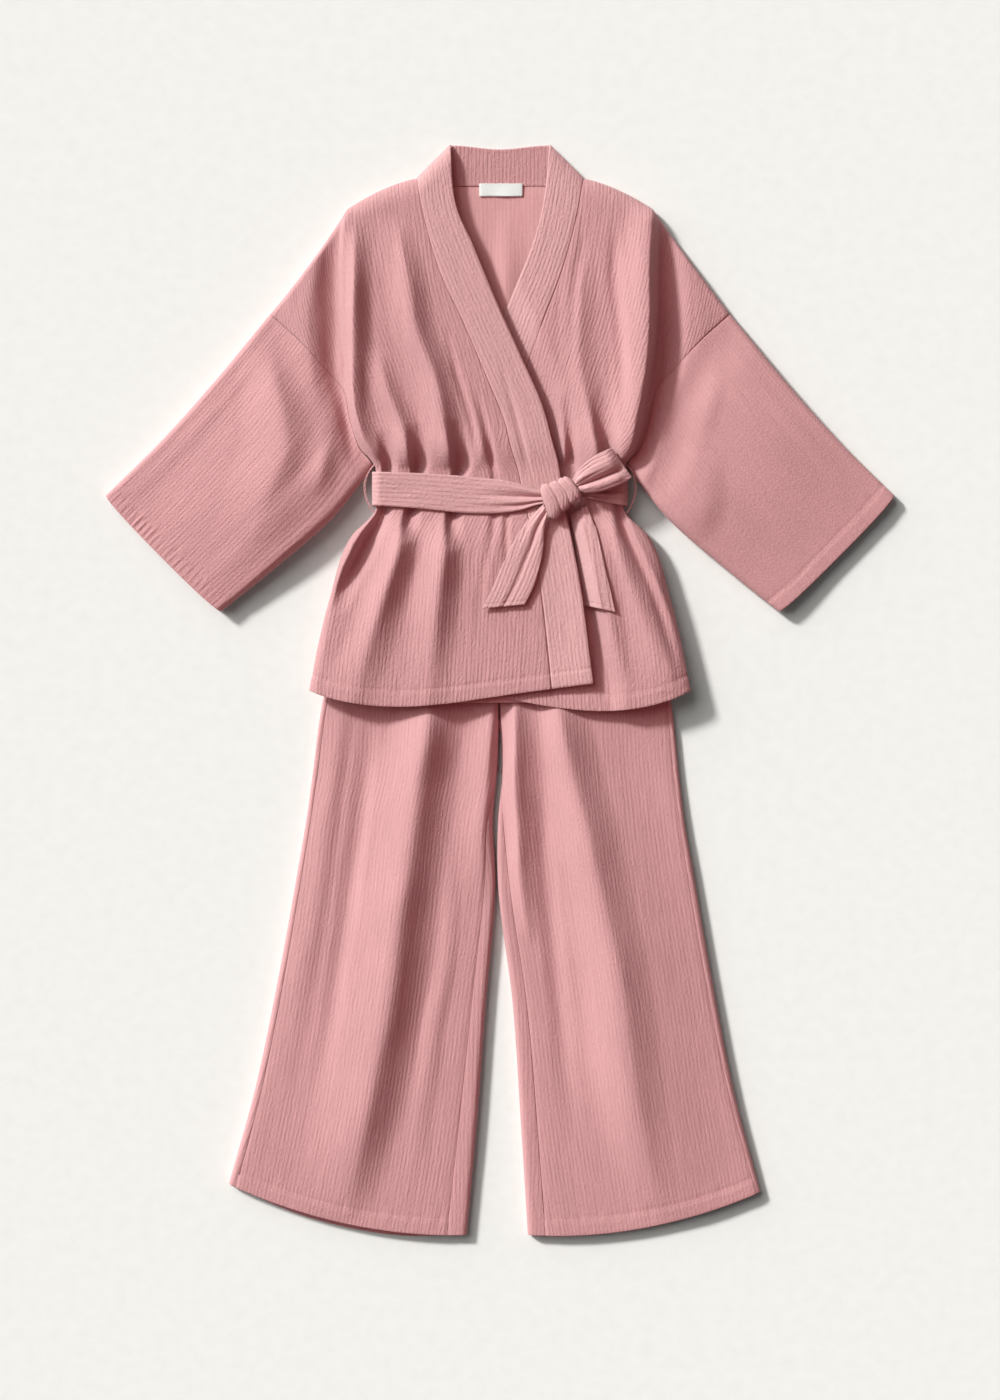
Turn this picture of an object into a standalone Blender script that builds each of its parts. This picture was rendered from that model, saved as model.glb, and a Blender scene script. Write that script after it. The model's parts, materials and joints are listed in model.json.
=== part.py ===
"""Kimono pajama set, laid flat and face up: a wrap top with a tie belt, lying on a pair of wide-leg
trousers.

Every cut piece is a wall of cloth with its own outline. A panel is a surface(across, down) worked out from
the garment's sizes: the outline comes from a short table of rows, the height from the level that the layer
lies at, plus the folds. The wall is that surface and the same surface moved inwards by the cloth's
thickness.

All sizes are in millimetres. +X is the right-hand side seen from above, +Y points to the collar, and +Z
is up
off the surface that the set lies on. The wearer's right is at -X, because the set lies face up.
"""

import math
from collections import namedtuple

import bmesh
import bpy
import numpy as np

MM = 0.001

# Cloth
CLOTH = 1.6  # two layers of crinkled gauze
BAND = 3.0  # the collar band and the belt are folded double
TAIL = 1.8  # a belt end, pressed flat
SEAM = 0.3  # the gap that stands for a seam between two pieces
HALF_SEAM = SEAM / 2

# Heights of the layers above the surface
SLEEVE_HEIGHT = 11.0  # a sleeve laid flat, wall to wall
SHOULDER_EDGE = 5.5  # where front and back meet along the shoulder
LAP_DROP = 9.0  # how far the lower front lies under the upper one
LAP_EASE = 32.0  # and the width over which it comes up again
SHOULDER_ARCH = 5.0  # how far the shoulder line is from straight
ROLL = 26.0  # how far in from the shoulder the front reaches its full height
CLIFF = 13.0  # the width of the steep side of the body's long side folds

# Waist and belt
WAIST_X = 161.0  # half the cinched waist
BELT_X = 166.0
BELT_TOP, BELT_BOTTOM = 282.0, 238.0
BELT_HEIGHT = 25.2

# Trousers
WAISTBAND_TOP, WAISTBAND_BOTTOM, WAISTBAND_X = 201.0, 166.0, 165.0
WAISTBAND_HEIGHT, WAISTBAND_WALL = 6.4, 2.4
CROTCH = 0.33  # how far down the leg's rows the crotch lies

# Neck
NECK_STAND_TOP, NECK_SEAM_Y = 703.0, 654.0
NECK_FLAT = 62.0  # half the straight stretch of the neck seam
LABEL_LEFT, LABEL_RIGHT, LABEL_BOTTOM, LABEL_TOP = -27.0, 29.0, 641.0, 658.0
LABEL_Z, LABEL_THICK = 3.5, 0.7

# One row of the top, from the shoulder to the hem. seam is the sleeve's seam and, below the underarm,
# the side
# seam. fold is the crest of the long fold down the body's side, lap the collar band's seam, edge the band's
# free edge. under_lap and under_edge are the same two on the front that lies below. back_y is the back's
# height on the table at this row, and seam_z the seam's height.
TopRow = namedtuple(
    "TopRow", "down seam fold lap edge under_lap under_edge back_y seam_z"
)
TOP_ROWS = [
    TopRow(0.00, (-299, 487), (-201, 628), (-109, 664), (-64, 709), (109, 664), (64, 709), 654, 11),
    TopRow(0.06, (-283, 473), (-202, 590), (-101, 620), (-59, 640), (102, 620), (57, 640), 612, 11),
    TopRow(0.15, (-258, 450), (-202, 530), (-80, 545), (-34, 575), (82, 545), (41, 575), 540, 11),
    TopRow(0.25, (-228, 418), (-200, 465), (-48, 475), (-2, 498), (56, 475), (9, 498), 468, 11),
    TopRow(0.35, (-203, 386), (-190, 396), (-16, 400), (32, 422), (28, 400), (-22, 422), 398, 11),
    TopRow(0.43, (-194, 345), (-181, 345), (5, 348), (56, 366), (8, 348), (-44, 366), 346, 11),
    TopRow(0.49, (-181, 312), (-169, 312), (14, 312), (68, 322), (-3, 312), (-57, 322), 311, 11),
    TopRow(0.53, (-163, 290), (-152, 290), (21, 290), (76, 292), (-9, 290), (-64, 292), 290, 12),
    TopRow(0.58, (-161, 260), (-151, 260), (28, 260), (81, 260), (-17, 260), (-70, 260), 260, 12.3),
    TopRow(0.63, (-162, 232), (-151, 232), (34, 232), (85, 232), (-25, 232), (-75, 232), 232, 12.6),
    TopRow(0.69, (-192, 200), (-179, 200), (41, 200), (92, 200), (-32, 200), (-83, 200), 200, 14),
    TopRow(0.81, (-221, 117), (-208, 117), (54, 117), (107, 117), (-48, 117), (-101, 117), 117, 16.5),
    TopRow(0.90, (-236, 55), (-223, 55), (61, 55), (115, 55), (-55, 55), (-108, 55), 55, 20),
    TopRow(1.00, (-248, -4), (-235, -5), (66, -1), (121, 3), (-60, 0), (-114, 3), -4, 23.5),
]
UNDERARM = 0.53  # how far down the rows the sleeve ends
HEM_SAG = 26.0  # the hem hangs this far below a straight line

# The front's height above the surface, and the back's, at each place down the top.
Level = namedtuple("Level", "y front back")
LEVELS = [
    Level(-40, 31.0, 19.8),
    Level(0, 30.5, 17.8),
    Level(60, 28.5, 12.0),
    Level(150, 26.5, 7.8),
    Level(205, 24.5, 7.3),
    Level(234, 20.8, 3.8),
    Level(286, 20.8, 3.8),
    Level(312, 24.0, 0.0),
    Level(360, 23.5, 0.0),
    Level(480, 21.0, 0.0),
    Level(640, 18.0, 0.0),
    Level(720, 14.0, 0.0),
]

# One row of a leg, from the waistband to the hem: its outer and inner edge, how far the side seam and the
# inseam roll on to the front, and the leg's height above the surface.
LegRow = namedtuple("LegRow", "down outer inner side_roll in_roll height")
LEGS = {
    "right": [
        LegRow(0.00, (-165, 165), (-1, 165), 9, 0, 6.4),
        LegRow(0.09, (-202, 92), (-1, 92), 9, 0, 6.6),
        LegRow(0.21, (-230, -13), (-1, -13), 9, 0, 9.0),
        LegRow(0.33, (-244, -114), (-4, -114), 9, 0, 10.0),
        LegRow(0.49, (-264, -242), (-7, -247), 10, 17, 11.0),
        LegRow(0.66, (-290, -385), (-18, -403), 11, 22, 11.0),
        LegRow(0.83, (-318, -518), (-30, -562), 12, 27, 11.0),
        LegRow(1.00, (-352, -641), (-43, -707), 13, 30, 10.0),
    ],
    "left": [
        LegRow(0.00, (165, 165), (-1, 165), 9, 0, 6.4),
        LegRow(0.09, (202, 92), (-1, 92), 9, 0, 6.6),
        LegRow(0.21, (222, -13), (-1, -13), 9, 0, 9.0),
        LegRow(0.33, (233, -114), (2, -114), 10, 0, 10.0),
        LegRow(0.49, (252, -242), (-3, -247), 12, 18, 11.0),
        LegRow(0.66, (277, -385), (16, -403), 12, 22, 11.0),
        LegRow(0.83, (304, -522), (27, -562), 11, 25, 11.0),
        LegRow(1.00, (338, -651), (36, -707), 9, 27, 10.0),
    ],
}
LEG_SAG = 21.0
BACK_PEEK = 6.0  # the right leg's back hem shows this far below its front

# A sleeve's top and lower edge, from the body to the cuff.
SLEEVE_TOP = [(-299, 487), (-368, 403), (-438, 325), (-511, 253)]
SLEEVE_LOWER = [(-170, 292), (-217, 222), (-292, 157), (-361, 102)]

# Folds: the crest's x at each y, its height (a trough's is negative), and how far it reaches to each side.
Crest = namedtuple("Crest", "y x height left right")
TOP_FOLDS = [
    # the drop shoulder dips beside the body's long side fold
    [Crest(350, -205, 0, 12, 20), Crest(430, -214, -3, 14, 20), Crest(560, -216, 0, 14, 20)],
    [Crest(350, 205, 0, 20, 12), Crest(430, 214, -3, 20, 14), Crest(560, 216, 0, 20, 14)],
    # a soft ridge down each sleeve
    [Crest(190, -316, 0, 40, 24), Crest(330, -308, 5, 40, 26), Crest(470, -284, 0, 40, 24)],
    [Crest(200, 330, 0, 30, 40), Crest(330, 318, 3, 34, 44), Crest(470, 292, 0, 30, 40)],
    # gathers that run up from the belt
    [Crest(284, -150, 0, 15, 12), Crest(310, -153, -9, 16, 12), Crest(390, -165, 0, 20, 14)],
    [
        Crest(284, -112, 0, 15, 13), Crest(306, -112, -9, 18, 12), Crest(380, -122, -4, 22, 16),
        Crest(520, -122, 0, 20, 18),
    ],
    [
        Crest(284, -62, 0, 15, 13), Crest(308, -62, -7, 18, 12), Crest(370, -74, -5, 24, 16),
        Crest(470, -96, -5, 26, 18), Crest(610, -124, 0, 24, 20),
    ],
    [Crest(284, -6, 0, 12, 12), Crest(306, -8, -5, 16, 14), Crest(390, -34, 0, 20, 18)],
    [
        Crest(284, 96, 0, 12, 12), Crest(306, 96, -8, 16, 14), Crest(400, 90, -5, 20, 20),
        Crest(520, 88, 0, 22, 22),
    ],
    [Crest(284, 140, 0, 12, 12), Crest(306, 139, -8, 18, 12), Crest(400, 142, 0, 24, 18)],
    # and down to the hem
    [
        Crest(30, -224, 0, 18, 24), Crest(130, -190, -8, 18, 22), Crest(216, -158, -8, 12, 14),
        Crest(236, -152, 0, 12, 14),
    ],
    [
        Crest(0, -160, 0, 30, 26), Crest(110, -142, -6, 22, 22), Crest(214, -122, -9, 18, 14),
        Crest(236, -120, 0, 12, 12),
    ],
    [
        Crest(-20, -62, 0, 30, 26), Crest(110, -62, -5, 22, 20), Crest(212, -60, -6, 18, 14),
        Crest(236, -60, 0, 12, 12),
    ],
    [Crest(90, -8, 0, 20, 20), Crest(206, -5, -5, 16, 14), Crest(236, -5, 0, 12, 12)],
    [
        Crest(45, 212, 0, 30, 20), Crest(115, 192, -9, 30, 18), Crest(212, 158, -10, 18, 10),
        Crest(236, 152, 0, 12, 10),
    ],
]
LEG_FOLDS = [
    # the right leg's long ridge, and the broad one along its inner edge
    [
        Crest(-660, -204, 0, 34, 20), Crest(-560, -176, 11, 40, 16), Crest(-400, -142, 19, 44, 15),
        Crest(-200, -112, 20, 42, 15), Crest(-80, -98, 16, 34, 16), Crest(-20, -92, 6, 30, 20),
        Crest(40, -90, 0, 30, 24),
    ],
    [
        Crest(-380, -48, 0, 34, 26), Crest(-200, -28, 12, 22, 22), Crest(-80, -22, 15, 24, 20),
        Crest(-20, -22, 6, 24, 20), Crest(40, -24, 0, 24, 20),
    ],
    # the left leg's
    [
        Crest(-300, 20, 0, 14, 16), Crest(-160, 12, 15, 12, 15), Crest(-80, 9, 17, 12, 15),
        Crest(-20, 9, 6, 12, 16), Crest(40, 10, 0, 12, 16),
    ],
    [
        Crest(-670, 206, 0, 40, 24), Crest(-560, 186, 8, 50, 16), Crest(-400, 156, 15, 52, 15),
        Crest(-200, 112, 18, 46, 15), Crest(-80, 84, 16, 34, 16), Crest(-20, 74, 6, 26, 18),
        Crest(40, 70, 0, 26, 20),
    ],
]

# The belt's knot, bow loop and ends
KNOT_AT, KNOT_TURN = (78.0, 248.0), math.radians(26)
KNOT_LENGTH, KNOT_WIDTH, KNOT_LOW, KNOT_HIGH = 42.0, 42.0, 25.7, 43.0
LoopRow = namedtuple("LoopRow", "along half_width z")
BOW_LOOP = [  # out along the under side, round the end, and back along the top
    LoopRow(24, 6, 31.0),
    LoopRow(42, 14, 29.6),
    LoopRow(62, 21, 29.4),
    LoopRow(74, 23, 31.0),
    LoopRow(79, 23.5, 35.5),
    LoopRow(74, 23, 40.5),
    LoopRow(62, 21, 43.0),
    LoopRow(42, 14, 42.5),
    LoopRow(24, 7, 39.0),
]
TailRow = namedtuple("TailRow", "left right lift")
LONG_TAIL = [
    TailRow((46, 231), (58, 222), 7.5),
    TailRow((25, 189), (57, 188), 3.0),
    TailRow((1, 147), (50, 156), 2.0),
    TailRow((-23, 106), (37, 116), 2.0),
]
SHORT_TAIL = [
    TailRow((91, 224), (111, 231), 1.5),
    TailRow((97, 182), (129, 182), 1.5),
    TailRow((100, 140), (139, 138), 1.5),
    TailRow((104, 110), (148, 101), 1.5),
]
THREAD = 1.6  # the belt's thread loops
THREAD_PATH = [
    (-166, 291, 13), (-172, 281, 15.5), (-175, 260, 16.5), (-172, 239, 15.5), (-165.5, 229, 14),
]

PINK, PINK_INSIDE, WHITE = (0.62, 0.30, 0.32), (0.60, 0.29, 0.31), (0.9, 0.9, 0.88)


# ---------------------------------------------------------------- curves and heights


def smooth(keys, values, at):
    """The smooth curve through values at keys, read at at. Past the ends it keeps the end's value."""
    keys, values = np.asarray(keys, float), np.asarray(values, float)
    slopes = np.gradient(values, keys)
    at = np.clip(np.asarray(at, float), keys[0], keys[-1])
    i = np.clip(np.searchsorted(keys, at) - 1, 0, len(keys) - 2)
    step = keys[i + 1] - keys[i]
    t = (at - keys[i]) / step
    start = values[i] * (1 + 2 * t) * (1 - t) ** 2 + values[i + 1] * t * t * (3 - 2 * t)
    return start + step * (slopes[i] * t * (1 - t) ** 2 - slopes[i + 1] * t * t * (1 - t))


def ease(t):
    """0 before 0, 1 after 1, and level at both."""
    t = np.clip(t, 0, 1)
    return t * t * (3 - 2 * t)


def rounded(t):
    """A quarter circle: straight up at 0, level from 1 on."""
    return np.sqrt(1 - (1 - np.clip(t, 0, 1)) ** 2)


def read(rows, column, at, part=None):
    """A table's column, or one part of it, read smoothly at a place down its rows."""
    values = [getattr(row, column) for row in rows]
    return smooth([row[0] for row in rows], values if part is None else [v[part] for v in values], at)


def point(rows, column, at):
    """A table's (x, y) column as a point."""
    return np.array([read(rows, column, at, 0), read(rows, column, at, 1)])


def curve(points, at):
    """A smooth curve through points, from 0 at the first to 1 at the last."""
    keys = np.linspace(0, 1, len(points))
    return np.array([smooth(keys, [p[k] for p in points], at) for k in range(len(points[0]))])


def fold_height(folds, x, y):
    """What the folds add to the height at x, y."""
    total = np.zeros(np.broadcast(x, y).shape)
    for rows in folds:
        crest, height, left, right = (
            read(rows, column, y) for column in ("x", "height", "left", "right")
        )
        away = np.abs(x - crest) / np.where(x < crest, left, right)
        total += height * (0.5 + 0.5 * np.cos(math.pi * np.clip(away, 0, 1)))
    return total


def level(column, y):
    return np.maximum(read(LEVELS, column, y), 0)


def top_height(x, y):
    """The upper side of the fronts where they lie on top."""
    return level("front", y) + fold_height(TOP_FOLDS, x, y)


def under_height(x, y):
    """The upper side of the front that lies below. It goes down where the upper front's band covers it."""
    rows = sorted(TOP_ROWS, key=lambda row: row.edge[1])
    free_edge = smooth([row.edge[1] for row in rows], [row.edge[0] for row in rows], y)
    z = top_height(x, y)
    lowest = np.minimum(z, level("back", y) + CLOTH + BAND + 2 * SEAM)
    return np.maximum(z - LAP_DROP * ease((free_edge + LAP_EASE - x) / LAP_EASE), lowest)


# ---------------------------------------------------------------- the ring that a flat-laid tube makes


def ring(place, width, radius, inner_radius=None):
    """(distance from the outer edge, height) round a flattened tube of this width. place is the distance
    round
    it: 0 is the outer edge, the tube's width is reached along the underside, and below 0 or past the inner
    edge is the upper side. Without an inner radius the underside's inner end is as round as the outer
    one."""
    inner = radius if inner_radius is None else inner_radius
    length = under_length(width, radius, inner)
    upper = (place < 0) | (place > length)
    along = np.where(place < 0, -place, np.where(place > length, 2 * length - place, place))
    near_outer = along < length / 2
    r = np.maximum(np.where(near_outer, radius, inner), 1e-6)
    from_edge = np.where(near_outer, along, length - along)
    turn = np.clip(from_edge / r, 0, math.pi / 2)
    inset = r * (1 - np.cos(turn)) + np.maximum(from_edge - r * math.pi / 2, 0)
    across = np.where(near_outer, inset, width - inset)
    height = np.where(upper, radius + r * np.sin(turn), r * (1 - np.sin(turn)))
    return across, height


def under_length(width, radius, inner):
    return width - radius - inner + (radius + inner) * math.pi / 2


def pieces_of(f, stops, values):
    """f from 0 to 1, spread over stretches: it reaches values at stops."""
    return np.interp(f, stops, values)


# ---------------------------------------------------------------- surfaces of the trousers


def leg_place(side, across, width, v):
    """The point of a leg's row this far in from its outer edge."""
    rows = LEGS[side]
    outer, inner = point(rows, "outer", v), point(rows, "inner", v)
    share = across / width
    xy = outer[:, None] + (inner - outer)[:, None] * share * width / (width + SEAM)
    xy[1] -= LEG_SAG * ease((v - 0.3) / 0.7) * 4 * share * (1 - share)
    return xy


def leg_sizes(side, v):
    """The width of a leg's row, half its height, and its two rolls."""
    rows = LEGS[side]
    width = np.linalg.norm(point(rows, "outer", v) - point(rows, "inner", v)) - SEAM
    return width, read(rows, "height", v) / 2, read(rows, "side_roll", v), read(rows, "in_roll", v)


def on_leg(side, place, v, inner_radius=None):
    width, radius, _, _ = leg_sizes(side, v)
    across, z = ring(place, width, radius, inner_radius)
    x, y = leg_place(side, across, width, v)
    lifted = np.clip(z / radius - 1, 0, 1)  # only the upper side folds, and its round edges less
    return np.stack([x, y, z + lifted * fold_height(LEG_FOLDS, x, y)], 1)


def leg_front(side):
    """The front goes from the side seam, over the upper side, to the centre seam and then the inseam."""

    def surface(f, v):
        width, radius, side_roll, in_roll = leg_sizes(side, v)
        length = under_length(width, radius, radius)
        start, end = side_roll + HALF_SEAM, length - in_roll - HALF_SEAM
        return on_leg(side, -(start + (end - start) * f), v)

    return surface


def leg_back(side):
    """The back goes from the side seam round the outer edge and underneath. Above the crotch it ends
    flat at
    the centre seam. Below, it comes up round the inner edge to the inseam."""

    def surface(f, v):
        width, radius, side_roll, in_roll = leg_sizes(side, v)
        inner = radius if v >= CROTCH - 1e-6 else 0.0
        length = under_length(width, radius, inner)
        turn, inner_turn = radius * math.pi / 2, max(inner * math.pi / 2, 4.0)
        places = [-side_roll + HALF_SEAM, 0, turn, length - inner_turn, length, length + in_roll]
        places[-1] = max(places[-1] - HALF_SEAM, length)
        if places[-1] <= length:
            places[-2:] = [length - 1.0, length - HALF_SEAM]
        return on_leg(side, pieces_of(f, [0, 0.12, 0.24, 0.76, 0.88, 1], places), v, inner)

    def with_peek(f, v):
        points = surface(f, v)
        if side == "right":
            middle = np.clip((f - 0.24) / 0.52, 0, 1)
            points[:, 1] -= BACK_PEEK * ease((v - 0.8) / 0.2) * ease(4 * middle * (1 - middle))
        return points

    return with_peek


def flat_tube(x_half, y_top, y_bottom, height, tilt=0.0):
    """A band laid flat, all round: the trousers' waistband, or the belt round the waist."""

    def surface(f, v):
        radius = height / 2
        width = 2 * x_half
        length = under_length(width, radius, radius)
        turn = radius * math.pi / 2
        stops = [0, 0.14, 0.36, 0.5, 0.64, 0.86, 1]
        places = [0, turn, length - turn, length, length + turn, 2 * length - turn, 2 * length - 1e-6]
        across, z = ring(pieces_of(np.mod(f, 1), stops, places), width, radius)
        x = across - x_half
        y = y_top + (y_bottom - y_top) * v + tilt * x / x_half
        return np.stack([x, y + 0 * x, z], 1)

    return surface


# ---------------------------------------------------------------- surfaces of the top


def on_top_row(f, v, names, stops, mirrored):
    """The point of one of the top's rows, through the named columns, which lie at the stops."""
    points = [point(TOP_ROWS, name, v) for name in names]
    if mirrored:
        points = [p * (-1, 1) if not name.startswith("under") else p for name, p in zip(names, points)]
    return np.array([np.interp(f, stops, [p[k] for p in points]) for k in (0, 1)])


def sag(f, v):
    """The hem's curve, which fades out up the row."""
    return HEM_SAG * ease((v - 0.75) / 0.25) * 4 * f * (1 - f)


FOLD_STOP = 0.3  # the share of a front that lies outside its long side fold


def front_plan(f, v, mirrored):
    lap = "under_lap" if mirrored else "lap"
    xy = on_top_row(f, v, ["seam", "fold", lap], [0, FOLD_STOP, 1], mirrored)
    share = np.clip((f - FOLD_STOP) / (1 - FOLD_STOP), 0, 1)
    arch = SHOULDER_ARCH * 4 * share * (1 - share) * (1 - v)
    return xy + np.array([0 * f, arch - sag(0.08 + 0.92 * f, v)])


def front(mirrored):
    """A front, from the sleeve seam and side seam to the collar band. The mirrored one is the wearer's
    left,
    which lies under the other where they lap."""

    def surface(f, v):
        f = f * (1 - 1e-3)  # the seam's gap at the band
        x, y = front_plan(f, v, mirrored)
        z = under_height(x, y) if mirrored else top_height(x, y)
        seam, fold = point(TOP_ROWS, "seam", v), point(TOP_ROWS, "fold", v)
        strip = max(np.linalg.norm(fold - seam), 1.0)
        share = np.clip(f / FOLD_STOP, 0, 1)
        cliff = ease((share - 1) * strip / min(CLIFF, strip) + 1)
        side = rounded(share)
        below = ease((v - UNDERARM + 0.03) / 0.03)
        seam_z = read(TOP_ROWS, "seam_z", v)
        low = seam_z + (1 - below) * fold_height(TOP_FOLDS, x, y) + below * HALF_SEAM
        z = low + (z - low) * (cliff + (side - cliff) * below)
        top_x, top_y = front_plan(f, 0.0, mirrored)
        from_shoulder = np.hypot(x - top_x, y - top_y)
        reach = SHOULDER_EDGE + (ROLL - SHOULDER_EDGE) * ease((f - 0.12) / 0.3)
        edge = SHOULDER_EDGE + HALF_SEAM
        z = edge + (z - edge) * rounded(from_shoulder / reach)
        return np.stack([x, y, z], 1)

    return surface


def band(mirrored):
    """The collar band down one front, from its seam to its free edge."""
    names = ["under_lap", "under_edge"] if mirrored else ["lap", "edge"]

    def surface(f, v):
        a, b = (point(TOP_ROWS, name, v) for name in names)
        gap = SEAM / np.linalg.norm(b - a)
        share = gap + (1 - gap) * f
        x, y = a[:, None] + (b - a)[:, None] * share
        y = y - sag(np.ones_like(f), v)
        z = under_height(x, y) if mirrored else top_height(x, y)
        top_a, top_b = (point(TOP_ROWS, name, 0.0) for name in names)
        top = top_a[:, None] + (top_b - top_a)[:, None] * share
        edge = SHOULDER_EDGE + HALF_SEAM - 2 * share
        z = edge + (z - edge) * rounded(np.hypot(x - top[0], y - top[1]) / ROLL)
        return np.stack([x, y, z], 1)

    return surface


def back_plan(f, v):
    """The back, whole: f is 0 at the wearer's right seam and 1 at the left one."""
    half = np.minimum(f, 1 - f) * 2
    seam, fold, neck = (point(TOP_ROWS, n, v) for n in ("seam", "fold", "lap"))
    y = read(TOP_ROWS, "back_y", v)
    neck = np.array([neck[0] if v < 0.05 else -100.0, y + 10 * (1 - ease(v / 0.1))])
    points = [seam, fold, neck, np.array([-NECK_FLAT, y]), np.array([0.0, y])]
    stops = [0, 0.16, 0.5, 0.7, 1]
    x, y = (np.interp(half, stops, [p[k] for p in points]) for k in (0, 1))
    share = np.clip((half - 0.16) / 0.34, 0, 1)
    y = y + SHOULDER_ARCH * 4 * share * (1 - share) * (1 - v)
    y = y - HEM_SAG * ease((v - 0.75) / 0.25) * ease(half * 1.6)
    return np.where(f > 0.5, -x, x), y


def back(f, v):
    """The back's outer side faces down. It lies on the surface, then over the belt and the trousers, and
    comes
    up to meet the fronts at the shoulders and side seams."""
    x, y = back_plan(f, v)
    half = np.minimum(f, 1 - f) * 2
    z = level("back", y)
    seam_z = read(TOP_ROWS, "seam_z", v) - 2 * SEAM
    below = ease((v - UNDERARM + 0.03) / 0.03)
    z = z + (seam_z - z) * (1 - rounded(half / 0.16)) * below
    top_x, top_y = back_plan(f, 0.0)
    from_shoulder = np.hypot(x - top_x, y - top_y)
    at_shoulder = 1 - ease((half - 0.5) / 0.2)
    edge = SHOULDER_EDGE - HALF_SEAM
    z = z + (edge - z) * (1 - rounded(from_shoulder / (2 * SHOULDER_EDGE))) * at_shoulder
    return np.stack([x, y, z], 1)


def neck_stand(f, v):
    """The collar behind the neck, inner side up: v is 0 at its top edge and 1 at the neck seam."""
    half_top, half_seam = 63.0, 108.6
    x = (half_top + (half_seam - half_top) * v) * (1 - 2 * f)
    side = np.abs(1 - 2 * f)
    top = NECK_STAND_TOP + 5 * ease(side)
    flat = NECK_FLAT / half_seam
    seam = NECK_SEAM_Y + SEAM + 10.0 * np.clip((side - flat) / (1 - flat), 0, 1)
    return np.stack([x, top + (seam - top) * v, 0 * x], 1)


def sleeve(mirrored):
    """A sleeve, cut in one and laid flat. f goes round it, v from the body to the cuff."""
    sign = -1 if mirrored else 1
    cuff = np.array([SLEEVE_TOP[-1], SLEEVE_LOWER[-1]], float)
    root = np.array([SLEEVE_TOP[0], SLEEVE_LOWER[0]], float)

    def plan(share, v):
        start = np.array([read(TOP_ROWS, "seam", share * UNDERARM, k) for k in (0, 1)])
        last = point(TOP_ROWS, "seam", UNDERARM)
        start = start + (root[1] - last)[:, None] * ease((share - 0.85) / 0.15)
        end = cuff[0][:, None] + (cuff[1] - cuff[0])[:, None] * share
        middle = start + (end - start) * v
        for weight, edge, k in ((1 - share, SLEEVE_TOP, 0), (share, SLEEVE_LOWER, 1)):
            straight = root[k] + (cuff[k] - root[k]) * v
            middle = middle + weight * (curve(edge, v) - straight)[:, None]
        away = np.array([-0.75, -0.66])[:, None] * 1.5 * SEAM
        return middle + away * (1 - v)

    def surface(f, v):
        """f is 0 to 1 along the underside, from the top edge to the lower one, and 1 to 2 back over it."""
        f = np.mod(f, 2)
        share = np.where(f <= 1, f, 2 - f)
        ends = plan(np.array([0.0, 1.0]), v)
        width = np.linalg.norm(ends[:, 1] - ends[:, 0])
        radius = SLEEVE_HEIGHT / 2
        bulge = radius * rounded(np.minimum(share, 1 - share) * width / radius)
        z = radius + np.where(f <= 1, -bulge, bulge)
        x, y = plan(share, v)
        z = z + np.clip(z / radius - 1, 0, 1) * fold_height(TOP_FOLDS, sign * x, y)
        return np.stack([sign * x, y, z], 1)

    return surface


# ---------------------------------------------------------------- surfaces of the belt


def knot_axes():
    along = np.array([math.cos(KNOT_TURN), math.sin(KNOT_TURN)])
    return along, np.array([-along[1], along[0]])


def bow_loop(f, v):
    """The bow's one loop: v goes out along its under side and back along the top, f across it."""
    keys = np.linspace(0, 1, len(BOW_LOOP))
    along, half, z = (smooth(keys, [getattr(r, c) for r in BOW_LOOP], v) for c in LoopRow._fields)
    axis, side = knot_axes()
    bulge = 2.0 * np.sign(z - 35.5) * (1 - (2 * f - 1) ** 2)
    xy = np.array(KNOT_AT)[:, None] + axis[:, None] * along + side[:, None] * half * (1 - 2 * f)
    return np.stack([xy[0], xy[1], z + bulge], 1)


def tail(rows, under):
    """A belt end, lying on the front that is below it. v goes from the knot to its cut end."""

    def surface(f, v):
        left, right, lift = (
            curve([np.atleast_1d(getattr(r, c)) for r in rows], v) for c in TailRow._fields
        )
        x, y = left[:, None] + (right - left)[:, None] * f
        if under:
            z = np.max([under_height(x + step, y) for step in (-8, 0, 8)], axis=0)
        else:
            z = top_height(x, y)
        z = z + lift[0] + TAIL
        return np.stack([x, y, z], 1)

    return surface


# ---------------------------------------------------------------- solids


def normals(surface, columns, v, closed):
    """Which way a surface's outer side faces, from its slopes across and down."""
    e = 1e-3
    ends = (-1, 3) if closed else (0, 1)
    a, b = (surface(np.clip(columns + step, *ends), v) for step in (e, -e))
    c, d = surface(columns, min(v + e, 1)), surface(columns, max(v - e, 0))
    n = np.cross(a - b, c - d)
    return n / np.maximum(np.linalg.norm(n, axis=1, keepdims=True), 1e-9)


def material(name, colour, roughness=0.9):
    made = bpy.data.materials.get(name) or bpy.data.materials.new(name)
    made.use_nodes = True
    shader = made.node_tree.nodes["Principled BSDF"]
    shader.inputs["Base Color"].default_value = (*colour, 1)
    shader.inputs["Roughness"].default_value = roughness
    shader.inputs["Metallic"].default_value = 0.0
    return made


def add(name, bm, paint):
    mesh = bpy.data.meshes.new(name)
    bmesh.ops.recalc_face_normals(bm, faces=bm.faces)
    bm.to_mesh(mesh)
    bm.free()
    mesh.materials.append(paint)
    mesh.shade_smooth()
    mesh.set_sharp_from_angle(angle=math.radians(40))
    made = bpy.data.objects.new(name, mesh)
    bpy.context.scene.collection.objects.link(made)
    return made


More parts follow.
